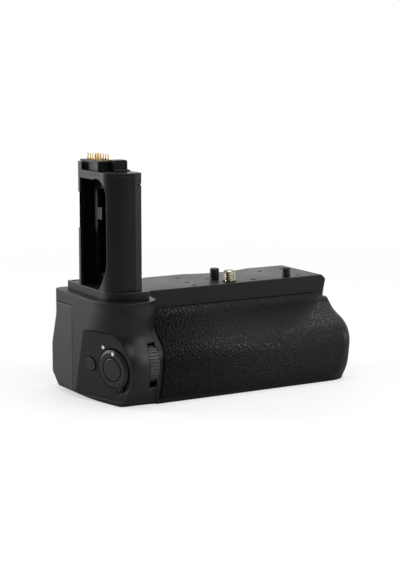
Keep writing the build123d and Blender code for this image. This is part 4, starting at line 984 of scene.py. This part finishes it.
class GRIP_OT_stage(bpy.types.Operator):
    """Set the floor, the light, the world and the camera"""

    bl_idname = "grip.stage"
    bl_label = "Stage"

    def execute(self, context):
        studio = context.scene.grip_studio
        mesh = bpy.data.meshes.new("studio_floor")
        size = 6.0
        corners = [(-size, -size, 0), (size, -size, 0), (size, size, 0), (-size, size, 0)]
        mesh.from_pydata(corners, [], [(0, 1, 2, 3)])
        floor = bpy.data.objects.new("studio_floor", mesh)
        context.scene.collection.objects.link(floor)
        # Floor: pale laminate, matt, which runs into the white background away from the grip
        material, tree = new_material("laminate_pale")
        place = add_node(tree, "ShaderNodeTexCoord").outputs["Object"]
        mottle = add_node(tree, "ShaderNodeTexNoise", {"Vector": place, "Scale": FLOOR_MOTTLE})
        gloss = add_node(
            tree, "ShaderNodeMapRange", {"Value": mottle.outputs[0], "To Min": 0.65, "To Max": 0.75},
        )
        pale = linear(context.scene.grip_colours.floor)
        board = add_node(
            tree, "ShaderNodeBsdfPrincipled", {"Base Color": pale, "Roughness": gloss.outputs[0]},
        )
        rays = add_node(tree, "ShaderNodeLightPath")
        seen = add_node(
            tree, "ShaderNodeMath",
            {0: rays.outputs["Is Camera Ray"], 1: rays.outputs["Is Transmission Ray"]}, operation="MAXIMUM",
        )
        lift = add_node(
            tree, "ShaderNodeMath", {0: seen.outputs[0], 1: studio.floor_lift}, operation="MULTIPLY",
        )
        glow = add_node(tree, "ShaderNodeEmission", {"Color": linear(WHITE), "Strength": lift.outputs[0]})
        near = add_node(tree, "ShaderNodeAddShader", {0: board.outputs[0], 1: glow.outputs[0]})
        # To glossy rays the open floor is dimmer at the front left, so the front faces stay dark
        side = add_node(
            tree, "ShaderNodeVectorMath", {0: place, 1: (0.44, 0.90, 0.0)}, operation="DOT_PRODUCT",
        )
        shade = add_node(
            tree, "ShaderNodeMapRange",
            {"Value": side.outputs["Value"], "From Min": -0.35, "From Max": 0.35,
             "To Min": 0.20, "To Max": 1.0},
        )
        level = add_node(
            tree, "ShaderNodeMath", {0: seen.outputs[0], 1: shade.outputs[0]}, operation="MAXIMUM",
        )
        white = add_node(tree, "ShaderNodeEmission", {"Color": linear(WHITE), "Strength": level.outputs[0]})
        reach = add_node(tree, "ShaderNodeVectorMath", {0: place}, operation="LENGTH")
        fade = add_node(
            tree, "ShaderNodeMapRange",
            {"Value": reach.outputs["Value"], "From Min": 0.22, "From Max": 0.60},
            interpolation_type="SMOOTHSTEP",
        )
        both = add_node(
            tree, "ShaderNodeMixShader", {0: fade.outputs[0], 1: near.outputs[0], 2: white.outputs[0]},
        )
        surface(tree, both)
        mesh.materials.append(material)
        self.light("overhead_softbox", (0.0, 0.0, 1.20), (0, 0, 0.03), 0.9, 0.5, studio.top_power)
        self.light("key_softbox", (0.10, -0.80, 0.95), (0, 0, 0.04), 1.0, 0.45, studio.key_power)
        self.light("left_softbox", (-0.85, 0.78, 0.38), (0, 0, 0.05), 0.5, 0.8, studio.left_power)
        self.light("right_softbox", (0.95, -0.78, 0.42), (0, 0, 0.04), 0.4, 0.7, studio.right_power)
        context.scene.world = self.world(studio.ambient)
        data = bpy.data.cameras.new("studio_camera")
        data.lens = studio.lens
        data.sensor_width = 36.0
        camera = bpy.data.objects.new("studio_camera", data)
        context.scene.collection.objects.link(camera)
        a, e = studio.azimuth, studio.elevation
        back = Vector((math.sin(a) * math.cos(e), -math.cos(a) * math.cos(e), math.sin(e)))
        camera.location = Vector(studio.aim) + back * studio.distance
        camera.rotation_euler = back.to_track_quat("Z", "Y").to_euler()
        context.scene.camera = camera
        context.scene.view_settings.view_transform = "Standard"
        return {"FINISHED"}

    @staticmethod
    def world(ambient):
        """White to the camera, a gradient to glossy rays that is dark at the front left, dim to the rest."""
        world = bpy.data.worlds.new("studio_world")
        world.use_nodes = True
        tree = world.node_tree
        tree.nodes.clear()
        rays = add_node(tree, "ShaderNodeLightPath")
        way = add_node(tree, "ShaderNodeTexCoord")
        side = add_node(
            tree, "ShaderNodeVectorMath", {0: way.outputs["Generated"], 1: (0.42, 0.86, -0.55)},
            operation="DOT_PRODUCT",
        )
        shade = add_node(
            tree, "ShaderNodeMapRange",
            {"Value": side.outputs["Value"], "From Min": -0.35, "From Max": 0.45,
             "To Min": 0.08, "To Max": 1.0},
        )
        seen = add_node(
            tree, "ShaderNodeMath",
            {0: rays.outputs["Is Camera Ray"], 1: rays.outputs["Is Transmission Ray"]}, operation="MAXIMUM",
        )
        bounce = add_node(
            tree, "ShaderNodeMath", {0: rays.outputs["Is Glossy Ray"], 1: shade.outputs[0]},
            operation="MULTIPLY",
        )
        bright = add_node(
            tree, "ShaderNodeMath", {0: seen.outputs[0], 1: bounce.outputs[0]}, operation="MAXIMUM",
        )
        matt = add_node(
            tree, "ShaderNodeMath", {0: rays.outputs["Is Diffuse Ray"], 1: ambient}, operation="MULTIPLY",
        )
        level = add_node(
            tree, "ShaderNodeMath", {0: bright.outputs[0], 1: matt.outputs[0]}, operation="MAXIMUM",
        )
        sky = add_node(tree, "ShaderNodeBackground", {"Color": linear(WHITE), "Strength": level.outputs[0]})
        add_node(tree, "ShaderNodeOutputWorld", {"Surface": sky.outputs[0]})
        return world

    @staticmethod
    def light(name, place, aim, width, depth, power):
        """Rectangular softbox aimed at a point."""
        data = bpy.data.lights.new(name, "AREA")
        data.shape = "RECTANGLE"
        data.size = width
        data.size_y = depth
        data.energy = power
        lamp = bpy.data.objects.new(name, data)
        bpy.context.scene.collection.objects.link(lamp)
        lamp.location = place
        lamp.rotation_euler = (Vector(place) - Vector(aim)).to_track_quat("Z", "Y").to_euler()


class GRIP_PT_panel(bpy.types.Panel):
    """Sidebar panel with the grip's steps"""

    bl_label = "Battery grip"
    bl_idname = "GRIP_PT_panel"
    bl_space_type = "VIEW_3D"
    bl_region_type = "UI"
    bl_category = "Grip"

    def draw(self, context):
        column = self.layout.column()
        for operator in STEPS:
            column.operator(operator.bl_idname)
        for group in ("grip_colours", "grip_sizes", "grip_studio"):
            settings = getattr(context.scene, group)
            for name in settings.bl_rna.properties.keys():
                if name not in ("rna_type", "name"):
                    column.prop(settings, name)


STEPS = (
    GRIP_OT_housing, GRIP_OT_controls, GRIP_OT_metals, GRIP_OT_rubber, GRIP_OT_screw,
    GRIP_OT_small_screws, GRIP_OT_contacts, GRIP_OT_stage,
)
GROUPS = {"grip_colours": GripColours, "grip_sizes": GripSizes, "grip_studio": GripStudio}


def register():
    """Register the settings, the steps and the panel."""
    for group, kind in GROUPS.items():
        bpy.utils.register_class(kind)
        setattr(bpy.types.Scene, group, bpy.props.PointerProperty(type=kind))
    for kind in STEPS + (GRIP_PT_panel,):
        bpy.utils.register_class(kind)


def unregister():
    """Take the panel, the steps and the settings away again."""
    for kind in reversed(STEPS + (GRIP_PT_panel,)):
        bpy.utils.unregister_class(kind)
    for group, kind in GROUPS.items():
        delattr(bpy.types.Scene, group)
        bpy.utils.unregister_class(kind)


def main():
    """Register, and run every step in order."""
    register()
    bpy.ops.grip.housing()
    bpy.ops.grip.controls()
    bpy.ops.grip.metals()
    bpy.ops.grip.rubber()
    bpy.ops.grip.screw()
    bpy.ops.grip.small_screws()
    bpy.ops.grip.contacts()
    bpy.ops.grip.stage()


if __name__ == "__main__":
    main()
